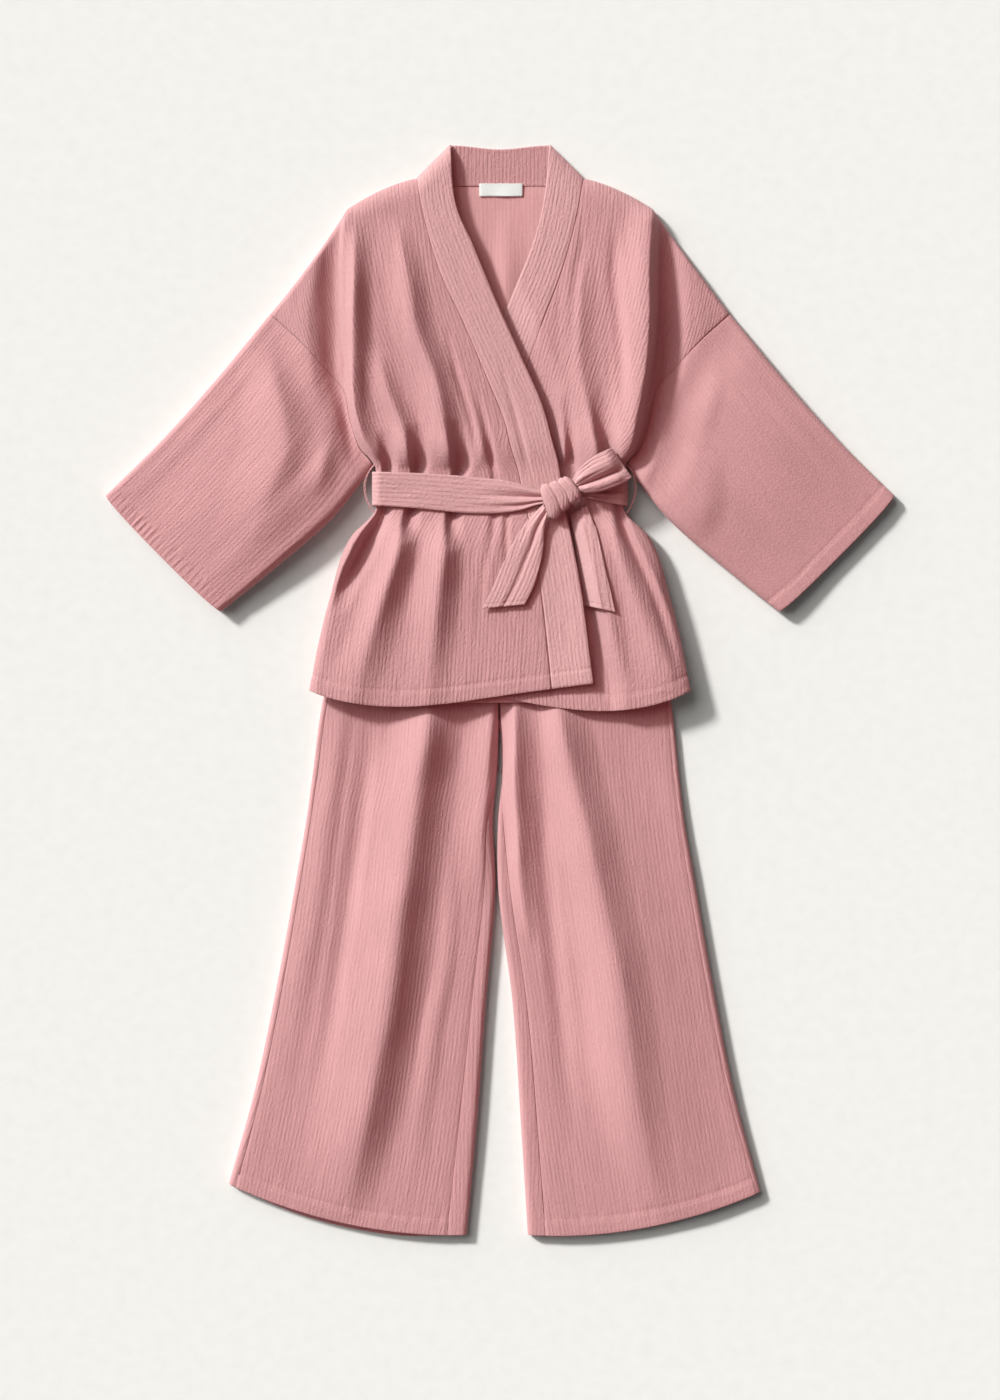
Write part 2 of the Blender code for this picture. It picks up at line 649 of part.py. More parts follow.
def wall(name, surface, columns, rows, thickness, paint, outward=1, closed=False, upright=None):
    """A wall of cloth: the surface, the same moved inwards, and the edges between them. outward is -1 where
    the slopes across and down turn the surface's outer side the other way. A closed wall joins round.
    upright
    tells where the surface stands up at a seam, so that the wall's two sides end at one height there."""
    bm = bmesh.new()
    columns = np.asarray(columns, float)
    outer, inner = [], []
    for v in rows:
        points = surface(columns, v)
        facing = normals(surface, columns, v, closed)
        if upright is not None:
            facing[upright(columns, v), 2] = 0
            facing /= np.maximum(np.linalg.norm(facing, axis=1, keepdims=True), 1e-9)
        moved = points - outward * thickness * facing
        outer.append([bm.verts.new(p * MM) for p in points])
        inner.append([bm.verts.new(p * MM) for p in moved])
    wide = len(columns)
    pairs = [(j, (j + 1) % wide) for j in range(wide if closed else wide - 1)]
    for i in range(len(rows) - 1):
        for j, k in pairs:
            bm.faces.new((outer[i][j], outer[i][k], outer[i + 1][k], outer[i + 1][j]))
            bm.faces.new((inner[i][j], inner[i + 1][j], inner[i + 1][k], inner[i][k]))
    for row in (0, -1):
        for j, k in pairs:
            bm.faces.new((outer[row][j], outer[row][k], inner[row][k], inner[row][j]))
    if not closed:
        for i in range(len(rows) - 1):
            for j in (0, -1):
                bm.faces.new((outer[i][j], outer[i + 1][j], inner[i + 1][j], inner[i][j]))
    return add(name, bm, paint)


def belt_knot(paint):
    """The knot: a short barrel of cloth, pulled round, with blunt ends."""
    bm = bmesh.new()
    axis, side = knot_axes()
    middle, half = (KNOT_LOW + KNOT_HIGH) / 2, (KNOT_HIGH - KNOT_LOW) / 2
    around = np.linspace(0, 2 * math.pi, 14, endpoint=False)
    rings = []
    for along, size in ((-0.5, 0.72), (-0.4, 0.95), (0, 1), (0.4, 0.93), (0.5, 0.68)):
        ring_points = []
        for angle in around:
            wide = KNOT_WIDTH / 2 * size * math.copysign(abs(math.cos(angle)) ** 0.7, math.cos(angle))
            up = half * size * math.copysign(abs(math.sin(angle)) ** 0.8, math.sin(angle))
            xy = np.array(KNOT_AT) + axis * along * KNOT_LENGTH + side * wide
            ring_points.append(bm.verts.new((xy[0] * MM, xy[1] * MM, (middle + up) * MM)))
        rings.append(ring_points)
    for a, b in zip(rings, rings[1:]):
        for j in range(len(around)):
            k = (j + 1) % len(around)
            bm.faces.new((a[j], a[k], b[k], b[j]))
    bm.faces.new(rings[0])
    bm.faces.new(rings[-1])
    return add("belt_knot", bm, paint)


def thread_loop(name, sign, paint):
    """The loop of thread at a side seam that keeps the belt up."""
    line = bpy.data.curves.new(name, "CURVE")
    line.dimensions = "3D"
    line.bevel_depth = THREAD / 2 * MM
    line.bevel_resolution = 1
    line.use_fill_caps = True
    spline = line.splines.new("POLY")
    places = np.linspace(0, 1, 13)
    points = curve(THREAD_PATH, places).T
    spline.points.add(len(points) - 1)
    for target, p in zip(spline.points, points):
        target.co = (sign * p[0] * MM, p[1] * MM, p[2] * MM, 1)
    line.materials.append(paint)
    made = bpy.data.objects.new(name, line)
    bpy.context.scene.collection.objects.link(made)
    return made


def neck_label(paint):
    """A plain woven label, sewn over the neck seam."""
    bm = bmesh.new()
    bmesh.ops.create_cube(bm, size=1)
    for vert in bm.verts:
        vert.co.x = (LABEL_RIGHT if vert.co.x > 0 else LABEL_LEFT) * MM
        vert.co.y = (LABEL_TOP if vert.co.y > 0 else LABEL_BOTTOM) * MM
        vert.co.z = (LABEL_Z + (LABEL_THICK if vert.co.z > 0 else 0)) * MM
    return add("neck_label", bm, paint)


def clear_scene():
    for obj in list(bpy.data.objects):
        bpy.data.objects.remove(obj)


def trousers(cloth):
    front_columns = [0, 0.04, 0.1, 0.17, 0.25, 0.33, 0.41, 0.49, 0.57, 0.65, 0.73, 0.81, 0.88, 0.95, 1]
    back_columns = [0, 0.12, 0.18, 0.24, 0.5, 0.76, 0.82, 0.88, 0.94, 1]
    rows = [0, 0.05, 0.12, 0.18, 0.24, 0.29, CROTCH, 0.38, 0.44, 0.51, 0.59, 0.67, 0.76, 0.85, 0.93, 1]
    for side, outward in (("right", 1), ("left", -1)):
        wall(f"trousers_front_{side}", leg_front(side), front_columns, rows, CLOTH, cloth, -outward)
        wall(f"trousers_back_{side}", leg_back(side), back_columns, rows, CLOTH, cloth, outward)
    band_shape = flat_tube(WAISTBAND_X, WAISTBAND_TOP, WAISTBAND_BOTTOM, WAISTBAND_HEIGHT)
    around = [0, 0.07, 0.14, 0.25, 0.36, 0.43, 0.5, 0.57, 0.64, 0.75, 0.86, 0.93]
    wall("trousers_waistband", band_shape, around, [0, 1], WAISTBAND_WALL, cloth, 1, True)


def top(cloth):
    front_columns = [0, 0.1, 0.2, 0.25, FOLD_STOP, 0.38, 0.46, 0.54, 0.62, 0.7, 0.78, 0.86, 0.93, 1]
    armhole = [0, 0.015, 0.04, 0.09, 0.15, 0.22, 0.29, 0.33, 0.38, 0.43, 0.49, UNDERARM]
    rows = armhole + [0.58, 0.63, 0.66, 0.7, 0.77, 0.85, 0.93, 1]
    shares = [v / UNDERARM for v in armhole]
    around = [0, 0.008] + shares[1:-1] + [0.992, 1, 1.008] + [
        2 - share for share in shares[-2:0:-1]
    ] + [1.992]
    down = [0, 0.2, 0.4, 0.6, 0.8, 1]
    for side, mirrored in (("right", False), ("left", True)):
        outward = 1 if mirrored else -1
        wall(f"top_front_{side}", front(mirrored), front_columns, rows, CLOTH, cloth, outward, False,
             lambda f, v: (f >= 0) & (v == 0) | (f == 0) & (v >= UNDERARM))
        wall(f"collar_band_{side}", band(mirrored), [0, 0.5, 1], rows, BAND, cloth, outward, False,
             lambda f, v: (f >= 0) & (v == 0))
        wall(f"sleeve_{side}", sleeve(mirrored), around, down, CLOTH, cloth, -outward, True)
    half = [0, 0.03, 0.08, 0.16, 0.25, 0.35, 0.5]
    back_columns = half + [1 - h for h in half[-2::-1]]
    wall("top_back", back, back_columns, rows, CLOTH, cloth, 1, False,
         lambda f, v: (np.abs(f - 0.5) >= 0.2) & (v == 0) | (np.abs(f - 0.5) == 0.5) & (v >= UNDERARM))
    neck_half = [0, 0.1, (1 - NECK_FLAT / 108.6) / 2, 0.36, 0.5]
    neck_columns = neck_half + [1 - h for h in neck_half[-2::-1]]
    wall("collar_neck", neck_stand, neck_columns, [0, 1], BAND, cloth, -1)


def belt(cloth):
    around = [
        0, 0.035, 0.07, 0.105, 0.14, 0.25, 0.36, 0.395, 0.43, 0.465, 0.5, 0.535, 0.57, 0.605, 0.64,
        0.75, 0.86, 0.895, 0.93, 0.965,
    ]
    band_shape = flat_tube(BELT_X, BELT_TOP, BELT_BOTTOM, BELT_HEIGHT)
    wall("belt_band", band_shape, around, [0, 1], BAND, cloth, 1, True)
    belt_knot(cloth)
    wall("belt_bow_loop", bow_loop, np.linspace(0, 1, 5), np.linspace(0, 1, 15), TAIL, cloth, -1)
    wall(
        "belt_tail_long", tail(LONG_TAIL, False), np.linspace(0, 1, 4), np.linspace(0, 1, 8), TAIL,
        cloth, -1,
    )
    wall(
        "belt_tail_short", tail(SHORT_TAIL, True), np.linspace(0, 1, 5), np.linspace(0, 1, 9), TAIL,
        cloth, -1,
    )


def main():
    clear_scene()
    cloth = material("crinkle_gauze", PINK)
    thread = material("thread", PINK_INSIDE, 0.7)
    trousers(cloth)
    top(cloth)
    belt(cloth)
    thread_loop("belt_loop_right", 1, thread)
    thread_loop("belt_loop_left", -1, thread)
    neck_label(material("label_white", WHITE, 0.6))


main()
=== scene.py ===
# %% [markdown]
# # A kimono pajama set in crinkled gauze, laid flat
#
# This lesson sews a wrap top with a tie belt and lays it over a pair of wide-leg trousers. Every panel is one
# sheet of cloth. It is a surface worked out from the garment's sizes, with its folds, crinkles, hems and
# seams, and it is made into a thin shell. The solid model of the same set is loaded first, and each panel
# stands for one of its pieces.
#
# Cloth could also be draped by a simulation. Garments that someone has laid out and smoothed by hand have
# folds in chosen places, so here each fold is placed on purpose.

# %% Load the frame
import json
import math
from collections import namedtuple

import bmesh
import bpy
import numpy as np
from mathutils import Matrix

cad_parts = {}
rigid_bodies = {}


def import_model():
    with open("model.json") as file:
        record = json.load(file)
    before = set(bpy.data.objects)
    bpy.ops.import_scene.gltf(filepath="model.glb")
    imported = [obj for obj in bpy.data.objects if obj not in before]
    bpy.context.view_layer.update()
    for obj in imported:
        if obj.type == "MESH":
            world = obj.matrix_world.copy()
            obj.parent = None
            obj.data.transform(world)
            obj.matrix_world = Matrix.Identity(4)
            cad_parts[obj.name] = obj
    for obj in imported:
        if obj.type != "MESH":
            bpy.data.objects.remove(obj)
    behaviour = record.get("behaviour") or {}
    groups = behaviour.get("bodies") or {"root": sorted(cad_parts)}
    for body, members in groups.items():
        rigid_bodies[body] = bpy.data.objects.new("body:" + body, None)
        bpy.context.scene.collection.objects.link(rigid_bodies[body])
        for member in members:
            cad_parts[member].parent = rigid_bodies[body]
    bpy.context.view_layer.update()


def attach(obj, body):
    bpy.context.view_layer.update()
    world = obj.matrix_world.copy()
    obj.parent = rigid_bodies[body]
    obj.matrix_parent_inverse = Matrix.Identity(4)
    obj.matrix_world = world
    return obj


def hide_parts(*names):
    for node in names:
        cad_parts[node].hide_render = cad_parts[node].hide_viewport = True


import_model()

# %% [markdown]
# A maker thinks in millimetres, so sizes stay in millimetres until a mesh is made. +X is to the right, +Y
# points to the collar, +Z is up. The cloth is two layers of gauze. The collar band and the belt are folded
# double, so they are thicker. Panels that are sewn together keep a hair's gap along their seam.

# %% Sizes
MM = 0.001
CLOTH, BAND, TAIL = 1.6, 3.0, 1.8  # thickness of a panel, of the collar band and of the belt's ends
SEAM, HALF_SEAM = 0.02, 0.01  # the gap between two sewn panels
SLEEVE_HEIGHT, SHOULDER_EDGE = 18.0, 6.0  # how high a sleeve stands, and the shoulder's edge
LAP_DROP, LAP_EASE = 15.0, 44.0  # the front below sinks by this much, over this width
ROLL, CLIFF, SHOULDER_ARCH = 26.0, 13.0, 5.0  # the shoulder's roll, the side fold's face, the shoulder's arch
UNDERARM, FOLD_STOP = 0.53, 0.3  # where the sleeve ends down the side, and the side fold across a front
HEM, HEM_SAG = 20.0, 21.0  # the depth of every hem, and how far the top's hem hangs in the middle
CROTCH, LEG_SAG = 0.33, 18.5  # where the legs part, and how far a leg's hem hangs in the middle
print("hems", HEM, "mm, cloth", CLOTH, "mm")

# %% [markdown]
# ## Gauze, thread and label
#
# Double gauze is matt and a little fuzzy. Its look comes from fine crinkles that run along the grain, from
# loose plain weave, and from slightly uneven dye. A picture of cloth could be laid on, but noise that is
# stretched along the grain never repeats. Each panel carries a UV map in metres along its own grain, so the
# crinkles and the weave keep their real size on every piece.


# %% Shader nodes
def node(tree, kind, place, **settings):
    """A new shader node, with its inputs or its settings filled in."""
    made = tree.nodes.new(kind)
    made.location = place
    for key, value in settings.items():
        if key in made.inputs:
            made.inputs[key].default_value = value
        else:
            setattr(made, key, value)
    return made


def stretched_noise(tree, coordinates, scale, detail, place):
    """Noise that is short across the grain and long along it."""
    mapping = node(tree, "ShaderNodeMapping", place)
    mapping.inputs["Scale"].default_value = (*scale, 1)
    noise = node(tree, "ShaderNodeTexNoise", (place[0] + 200, place[1]), Scale=1.0, Detail=detail,
                 Roughness=0.6)
    tree.links.new(coordinates, mapping.inputs["Vector"])
    tree.links.new(mapping.outputs["Vector"], noise.inputs["Vector"])
    return noise.outputs["Fac"]


print("helpers for shader nodes:", node.__name__, "and", stretched_noise.__name__)


# %% [markdown]
# Four bumps are stacked, from the coarsest to the finest: soft ribs, long lines, the blocks that a crinkle
# breaks into, and single threads. The lines and the blocks also darken the colour slightly where they are
# deep, as painted shade in the crinkles' hollows.


# %% Gauze
def gauze(name, colour, crinkle):
    """Matt crinkled cloth. crinkle is the strength of its bumps."""
    made = bpy.data.materials.new(name)
    made.use_nodes = True
    tree = made.node_tree
    shader = tree.nodes["Principled BSDF"]
    shader.inputs["Roughness"].default_value = 0.92
    shader.inputs["Specular IOR Level"].default_value = 0.18
    shader.inputs["Sheen Weight"].default_value = 0.16
    shader.inputs["Sheen Roughness"].default_value = 0.5
    shader.inputs["Sheen Tint"].default_value = (1.0, 0.86, 0.86, 1)
    grain = node(tree, "ShaderNodeUVMap", (-1500, 0), uv_map="grain").outputs["UV"]
    straight = node(tree, "ShaderNodeMapping", (-1250, 250))
    straight.inputs["Scale"].default_value = (1, 0.22, 1)
    tree.links.new(grain, straight.inputs["Vector"])
    ribs = node(tree, "ShaderNodeTexWave", (-1050, 250), Scale=62.0, Distortion=2.6, Detail=2.0)
    ribs.inputs["Detail Scale"].default_value = 45.0
    tree.links.new(straight.outputs["Vector"], ribs.inputs["Vector"])
    streaks = ribs.outputs["Fac"]
    lines = stretched_noise(tree, grain, (250, 30), 2.0, (-1250, 120))
    blocks = stretched_noise(tree, grain, (330, 250), 1.0, (-1250, 0))
    threads = stretched_noise(tree, grain, (620, 420), 2.0, (-1250, -150))
    patches = stretched_noise(tree, grain, (16, 9), 2.0, (-1250, 500))
    shade = node(tree, "ShaderNodeMath", (-950, 300), operation="ADD")
    tree.links.new(lines, shade.inputs[0])
    tree.links.new(blocks, shade.inputs[1])
    # Low lines and blocks darken the colour: painted shade in the crinkles' hollows.
    painted_crinkle_shade = node(tree, "ShaderNodeMapRange", (-750, 300))
    for field, value in (("From Min", 0.6), ("From Max", 1.4), ("To Min", 0.93), ("To Max", 1.03)):
        painted_crinkle_shade.inputs[field].default_value = value
    tree.links.new(shade.outputs[0], painted_crinkle_shade.inputs["Value"])
    uneven = node(tree, "ShaderNodeMapRange", (-750, 550))
    for field, value in (("From Min", 0.3), ("From Max", 0.7), ("To Min", 0.965), ("To Max", 1.03)):
        uneven.inputs[field].default_value = value
    tree.links.new(patches, uneven.inputs["Value"])
    both = node(tree, "ShaderNodeMath", (-550, 400), operation="MULTIPLY")
    tree.links.new(painted_crinkle_shade.outputs["Result"], both.inputs[0])
    tree.links.new(uneven.outputs["Result"], both.inputs[1])
    dye_with_painted_shade = node(tree, "ShaderNodeVectorMath", (-400, 300), operation="SCALE")
    dye_with_painted_shade.inputs[0].default_value = colour
    tree.links.new(both.outputs[0], dye_with_painted_shade.inputs["Scale"])
    tree.links.new(dye_with_painted_shade.outputs["Vector"], shader.inputs["Base Color"])
    last = None
    for height, distance, strength, place in (
        (streaks, 0.0004, crinkle, -650),
        (lines, 0.0012, crinkle, -550),
        (blocks, 0.0009, crinkle, -450),
        (threads, 0.0004, 0.6, -250),
    ):
        bump = node(tree, "ShaderNodeBump", (place, -200), Strength=strength, Distance=distance)
        tree.links.new(height, bump.inputs["Height"])
        if last:
            tree.links.new(last.outputs["Normal"], bump.inputs["Normal"])
        last = bump
    tree.links.new(last.outputs["Normal"], shader.inputs["Normal"])
    return made


print("gauze has four bumps: streaks, lines, blocks and threads")

# %% [markdown]
# One dye gives four looks. The fronts are crinkled, and the sleeves and legs lie calmer. The collar band and
# the belt, where the cloth is folded double, get a lighter copy of the dye as painted light. The back's
# inside is smooth, and it also gets a lighter copy of the dye as painted light.

# %% Gauze colours
PINK = (0.532, 0.312, 0.320)
GAUZE = gauze("dusty_pink_gauze", PINK, 0.8)
# Lighter copies of the dye: painted light on the folded band and belt, and on the back's inside.
GAUZE_PAINTED_LIGHTER = gauze("pink_gauze_painted_lighter", (0.588, 0.37, 0.374), 0.8)
INSIDE_PAINTED_LIGHTER = gauze("smooth_inside_painted_lighter", (0.595, 0.358, 0.36), 0.25)
CALM_GAUZE = gauze("calm_pink_gauze", PINK, 0.5)
print("gauze base colour", PINK)

# %% [markdown]
# The thread is the cloth's own colour, twisted. The label is a white satin tape with nothing on it. The floor
# is matt card. All three are nearly plain, so one helper gives them fine noise in their colour and bump.


# %% Thread, label and floor
def fine(name, colour, roughness, scale, depth):
    """A material with fine noise in its colour and bump, at this many bumps a metre."""
    made = bpy.data.materials.new(name)
    made.use_nodes = True
    tree = made.node_tree
    shader = tree.nodes["Principled BSDF"]
    shader.inputs["Roughness"].default_value = roughness
    shader.inputs["Specular IOR Level"].default_value = 0.2
    where = node(tree, "ShaderNodeTexCoord", (-900, 0)).outputs["Object"]
    grainy = node(tree, "ShaderNodeTexNoise", (-650, 0), Scale=scale, Detail=3.0)
    tree.links.new(where, grainy.inputs["Vector"])
    spread = node(tree, "ShaderNodeMapRange", (-450, 150))
    spread.inputs["To Min"].default_value = 0.96
    spread.inputs["To Max"].default_value = 1.04
    tree.links.new(grainy.outputs["Fac"], spread.inputs["Value"])
    tone = node(tree, "ShaderNodeVectorMath", (-250, 150), operation="SCALE")
    tone.inputs[0].default_value = colour
    tree.links.new(spread.outputs["Result"], tone.inputs["Scale"])
    tree.links.new(tone.outputs["Vector"], shader.inputs["Base Color"])
    bump = node(tree, "ShaderNodeBump", (-250, -150), Strength=0.4, Distance=depth)
    tree.links.new(grainy.outputs["Fac"], bump.inputs["Height"])
    tree.links.new(bump.outputs["Normal"], shader.inputs["Normal"])
    return made


THREAD_PINK = fine("sewing_thread", (0.68, 0.42, 0.42), 0.7, 1500.0, 0.0002)
LABEL_WHITE = fine("label_tape", (0.86, 0.86, 0.84), 0.55, 2500.0, 0.00008)
PAPER = fine("pale_floor", (0.905, 0.895, 0.872), 0.95, 60.0, 0.0002)
print("materials:", ", ".join(m.name for m in bpy.data.materials))

# %% [markdown]
# ## Curves, noise and folds
#
# A pattern cutter marks a few points and joins them with a smooth curve. The outlines here come from short
# tables of rows, read the same way. A cubic between rows keeps the slope, so no corner shows in the cloth.


# %% Reading tables smoothly
def prepared(keys, values):
    """A table made ready for along_table: its places, values and slopes."""
    keys, values = np.asarray(keys, float), np.asarray(values, float)
    return keys, values, np.gradient(values, keys)


def along_table(table, at):
    """The value at a place, on a smooth curve through the table."""
    keys, values, slopes = table
    at = np.clip(np.asarray(at, float), keys[0], keys[-1])
    i = np.clip(np.searchsorted(keys, at) - 1, 0, len(keys) - 2)
    step = keys[i + 1] - keys[i]
    t = (at - keys[i]) / step
    start = values[i] * (1 + 2 * t) * (1 - t) ** 2 + values[i + 1] * t * t * (3 - 2 * t)
    return start + step * (slopes[i] * t * (1 - t) ** 2 - slopes[i + 1] * t * t * (1 - t))


def smooth(keys, values, at):
    """The same, for a table that is read only once."""
    return along_table(prepared(keys, values), at)


def ease(t):
    """From 0 to 1 with a soft start and a soft end."""
    t = np.clip(t, 0, 1)
    return t * t * (3 - 2 * t)


def rounded(t):
    """From 0 to 1 along a quarter of a circle: steep first, then level."""
    return np.sqrt(1 - (1 - np.clip(t, 0, 1)) ** 2)


TABLES = {}


def read(rows, column, at, part=None):
    """A column of a table, read between its rows."""
    key = (id(rows), column, part)
    if key not in TABLES:
        values = [getattr(row, column) for row in rows]
        TABLES[key] = prepared([row[0] for row in rows],
                               values if part is None else [v[part] for v in values])
    return along_table(TABLES[key], at)


def point(rows, column, at):
    """A column of points, read between its rows."""
    return np.array([read(rows, column, at, 0), read(rows, column, at, 1)])


def curve(points, at):
    """Places from 0 to 1 along a smooth line through these points."""
    keys = np.linspace(0, 1, len(points))
    return np.array([smooth(keys, [p[k] for p in points], at) for k in range(len(points[0]))])


print("a table is read smoothly: halfway from 0 to 1 is", round(float(smooth([0, 1], [0, 1], 0.5)), 2))

# %% [markdown]
# Crinkles need noise that can be read at any place and gives the same result each time. A seeded grid of
# numbers, blended softly between its corners, is the simplest kind.

# %% Noise and crinkles
GRID = np.random.default_rng(11).uniform(-1, 1, (256, 256))


def noise(u, w):
    """Soft noise from -1 to 1, one bump to each unit."""
    iu, iw = np.floor(u).astype(int), np.floor(w).astype(int)
    tu, tw = ease(u - iu), ease(w - iw)
    corner = [[GRID[(iu + a) % 256, (iw + b) % 256] for b in (0, 1)] for a in (0, 1)]
    low = corner[0][0] * (1 - tu) + corner[1][0] * tu
    high = corner[0][1] * (1 - tu) + corner[1][1] * tu
    return low * (1 - tw) + high * tw


def dip(distance, width):
    """1 on a line and 0 away from it."""
    return np.exp(-((distance / width) ** 2))


def crinkle(u, w, amount=1.0):
    """The cloth's crinkles: u is across the grain and w along it."""
    wide = 0.2 * noise(u / 9, w / 90) + 0.3 * noise(u / 17 + 40, w / 150)
    narrow = 0.08 * noise(u / 5.5 + 90, w / 14) + 0.22 * noise(u / 5.0 + 9, w / 60)
    patches = 0.8 + 0.45 * noise(u / 60 + 7, w / 110 + 3)
    return amount * (wide + narrow) * patches


print("crinkles up to about", round(float(np.abs(crinkle(*np.mgrid[0:400:2, 0:400:2])).max()), 2), "mm high")

# %% [markdown]
# A fold in laid cloth has a crest: a line down the cloth with a height, and a reach to each side. A trough's
# height is negative, and a short reach makes a steep side. Most folds are soft waves. The long ridges fall
# steeply from their crest at once and then ever more gently, as gathered cloth does.

# %% Folds
Crest = namedtuple("Crest", "y x height left right")


def soft(t):
    """A fold's height from its crest, at 0, to its foot, at 1."""
    return 0.5 + 0.5 * np.cos(math.pi * t)


def sharp(t):
    """A crest that falls steeply at once, and then ever more gently."""
    bend = 0.16
    t = (np.sqrt(t * t + bend * bend) - bend) / (math.sqrt(1 + bend * bend) - bend)
    return (1 - t) ** 1.6


def fold_height(folds, x, y, profile=soft, lean=1.0):
    """The height of all these folds. Each crest wanders a little, and lean widens its left side."""
    total = np.zeros(np.broadcast(x, y).shape)
    least, most = np.min(y), np.max(y)
    for rows in folds:
        low, high = rows[0].y, rows[-1].y
        if high <= least or low >= most:
            continue
        crest, height, left, right = (read(rows, c, y) for c in ("x", "height", "left", "right"))
        height = np.where((y < low) | (y > high), 0, height) * (1 + 0.09 * noise(y / 70, rows[0].x * 0.29))
        crest = crest + 1.8 * noise(y / 60, rows[0].x * 0.13)
        away = np.abs(x - crest) / np.where(x < crest, left * lean, right)
        total += height * profile(np.clip(away, 0, 1))
    return total


def crest(*rows):
    """One fold, from its lower end to its upper end."""
    return [Crest(*row) for row in rows]


print("a crest is a row of", Crest._fields)

# %% [markdown]
# ## The shape of the top
#
# The real top has a back, two fronts, dropped sleeves and a collar band. One table can cut all of them. A row
# of it runs from the sleeve seam, or the side seam further down, over the crest of the long fold at the
# body's side, to the collar band's seam and free edge. The same row gives the front that lies below, so the
# panels always meet at their seams.

# %% The top's rows
TopRow = namedtuple("TopRow", "down seam fold lap edge under_lap under_edge back_y seam_z")
TOP_ROWS = [
    TopRow(0.00, (-299, 487), (-198, 624), (-109, 664), (-64, 709), (109, 664), (64, 709), 654, 11),
    TopRow(0.06, (-283, 473), (-202, 590), (-101, 620), (-59, 640), (102, 620), (57, 640), 612, 11),
    TopRow(0.15, (-258, 450), (-202, 530), (-80, 545), (-34, 575), (82, 545), (41, 575), 540, 11),
    TopRow(0.25, (-228, 418), (-200, 465), (-48, 475), (-2, 498), (56, 475), (9, 498), 468, 11),
    TopRow(0.35, (-203, 386), (-190, 396), (-16, 400), (32, 422), (28, 400), (-22, 422), 398, 11),
    TopRow(0.43, (-194, 345), (-181, 345), (5, 348), (56, 366), (8, 348), (-44, 366), 346, 11),
    TopRow(0.49, (-181, 312), (-169, 312), (14, 312), (68, 322), (-3, 312), (-57, 322), 311, 11),
    TopRow(0.53, (-163, 290), (-152, 290), (21, 290), (76, 292), (-9, 290), (-64, 292), 290, 12),
    TopRow(0.58, (-161, 260), (-151, 260), (28, 260), (81, 260), (-17, 260), (-70, 260), 260, 12.3),
    TopRow(0.63, (-162, 232), (-151, 232), (34, 232), (85, 232), (-25, 232), (-75, 232), 232, 12.6),
    TopRow(0.69, (-192, 200), (-179, 200), (41, 200), (92, 200), (-32, 200), (-83, 200), 200, 14),
    TopRow(0.81, (-221, 117), (-208, 117), (54, 117), (107, 117), (-48, 117), (-101, 117), 117, 16.5),
    TopRow(0.90, (-236, 55), (-223, 55), (61, 55), (115, 55), (-55, 55), (-108, 55), 55, 20),
    TopRow(1.00, (-246, -1), (-233, -2), (66, 1), (121, 8), (-60, 0), (-114, 3), -4, 23.5),
]
Level = namedtuple("Level", "y front back")
LEVELS = [
    Level(-40, 31.0, 19.8),
    Level(0, 30.5, 17.8),
    Level(60, 28.5, 12.0),
    Level(150, 26.5, 7.8),
    Level(205, 24.5, 7.3),
    Level(234, 20.8, 3.8),
    Level(286, 20.8, 3.8),
    Level(312, 24.0, 0.0),
    Level(360, 24.5, 0.0),
    Level(480, 23.5, 0.0),
    Level(640, 19.0, 0.0),
    Level(720, 14.0, 0.0),
]
print(len(TOP_ROWS), "rows down the top")
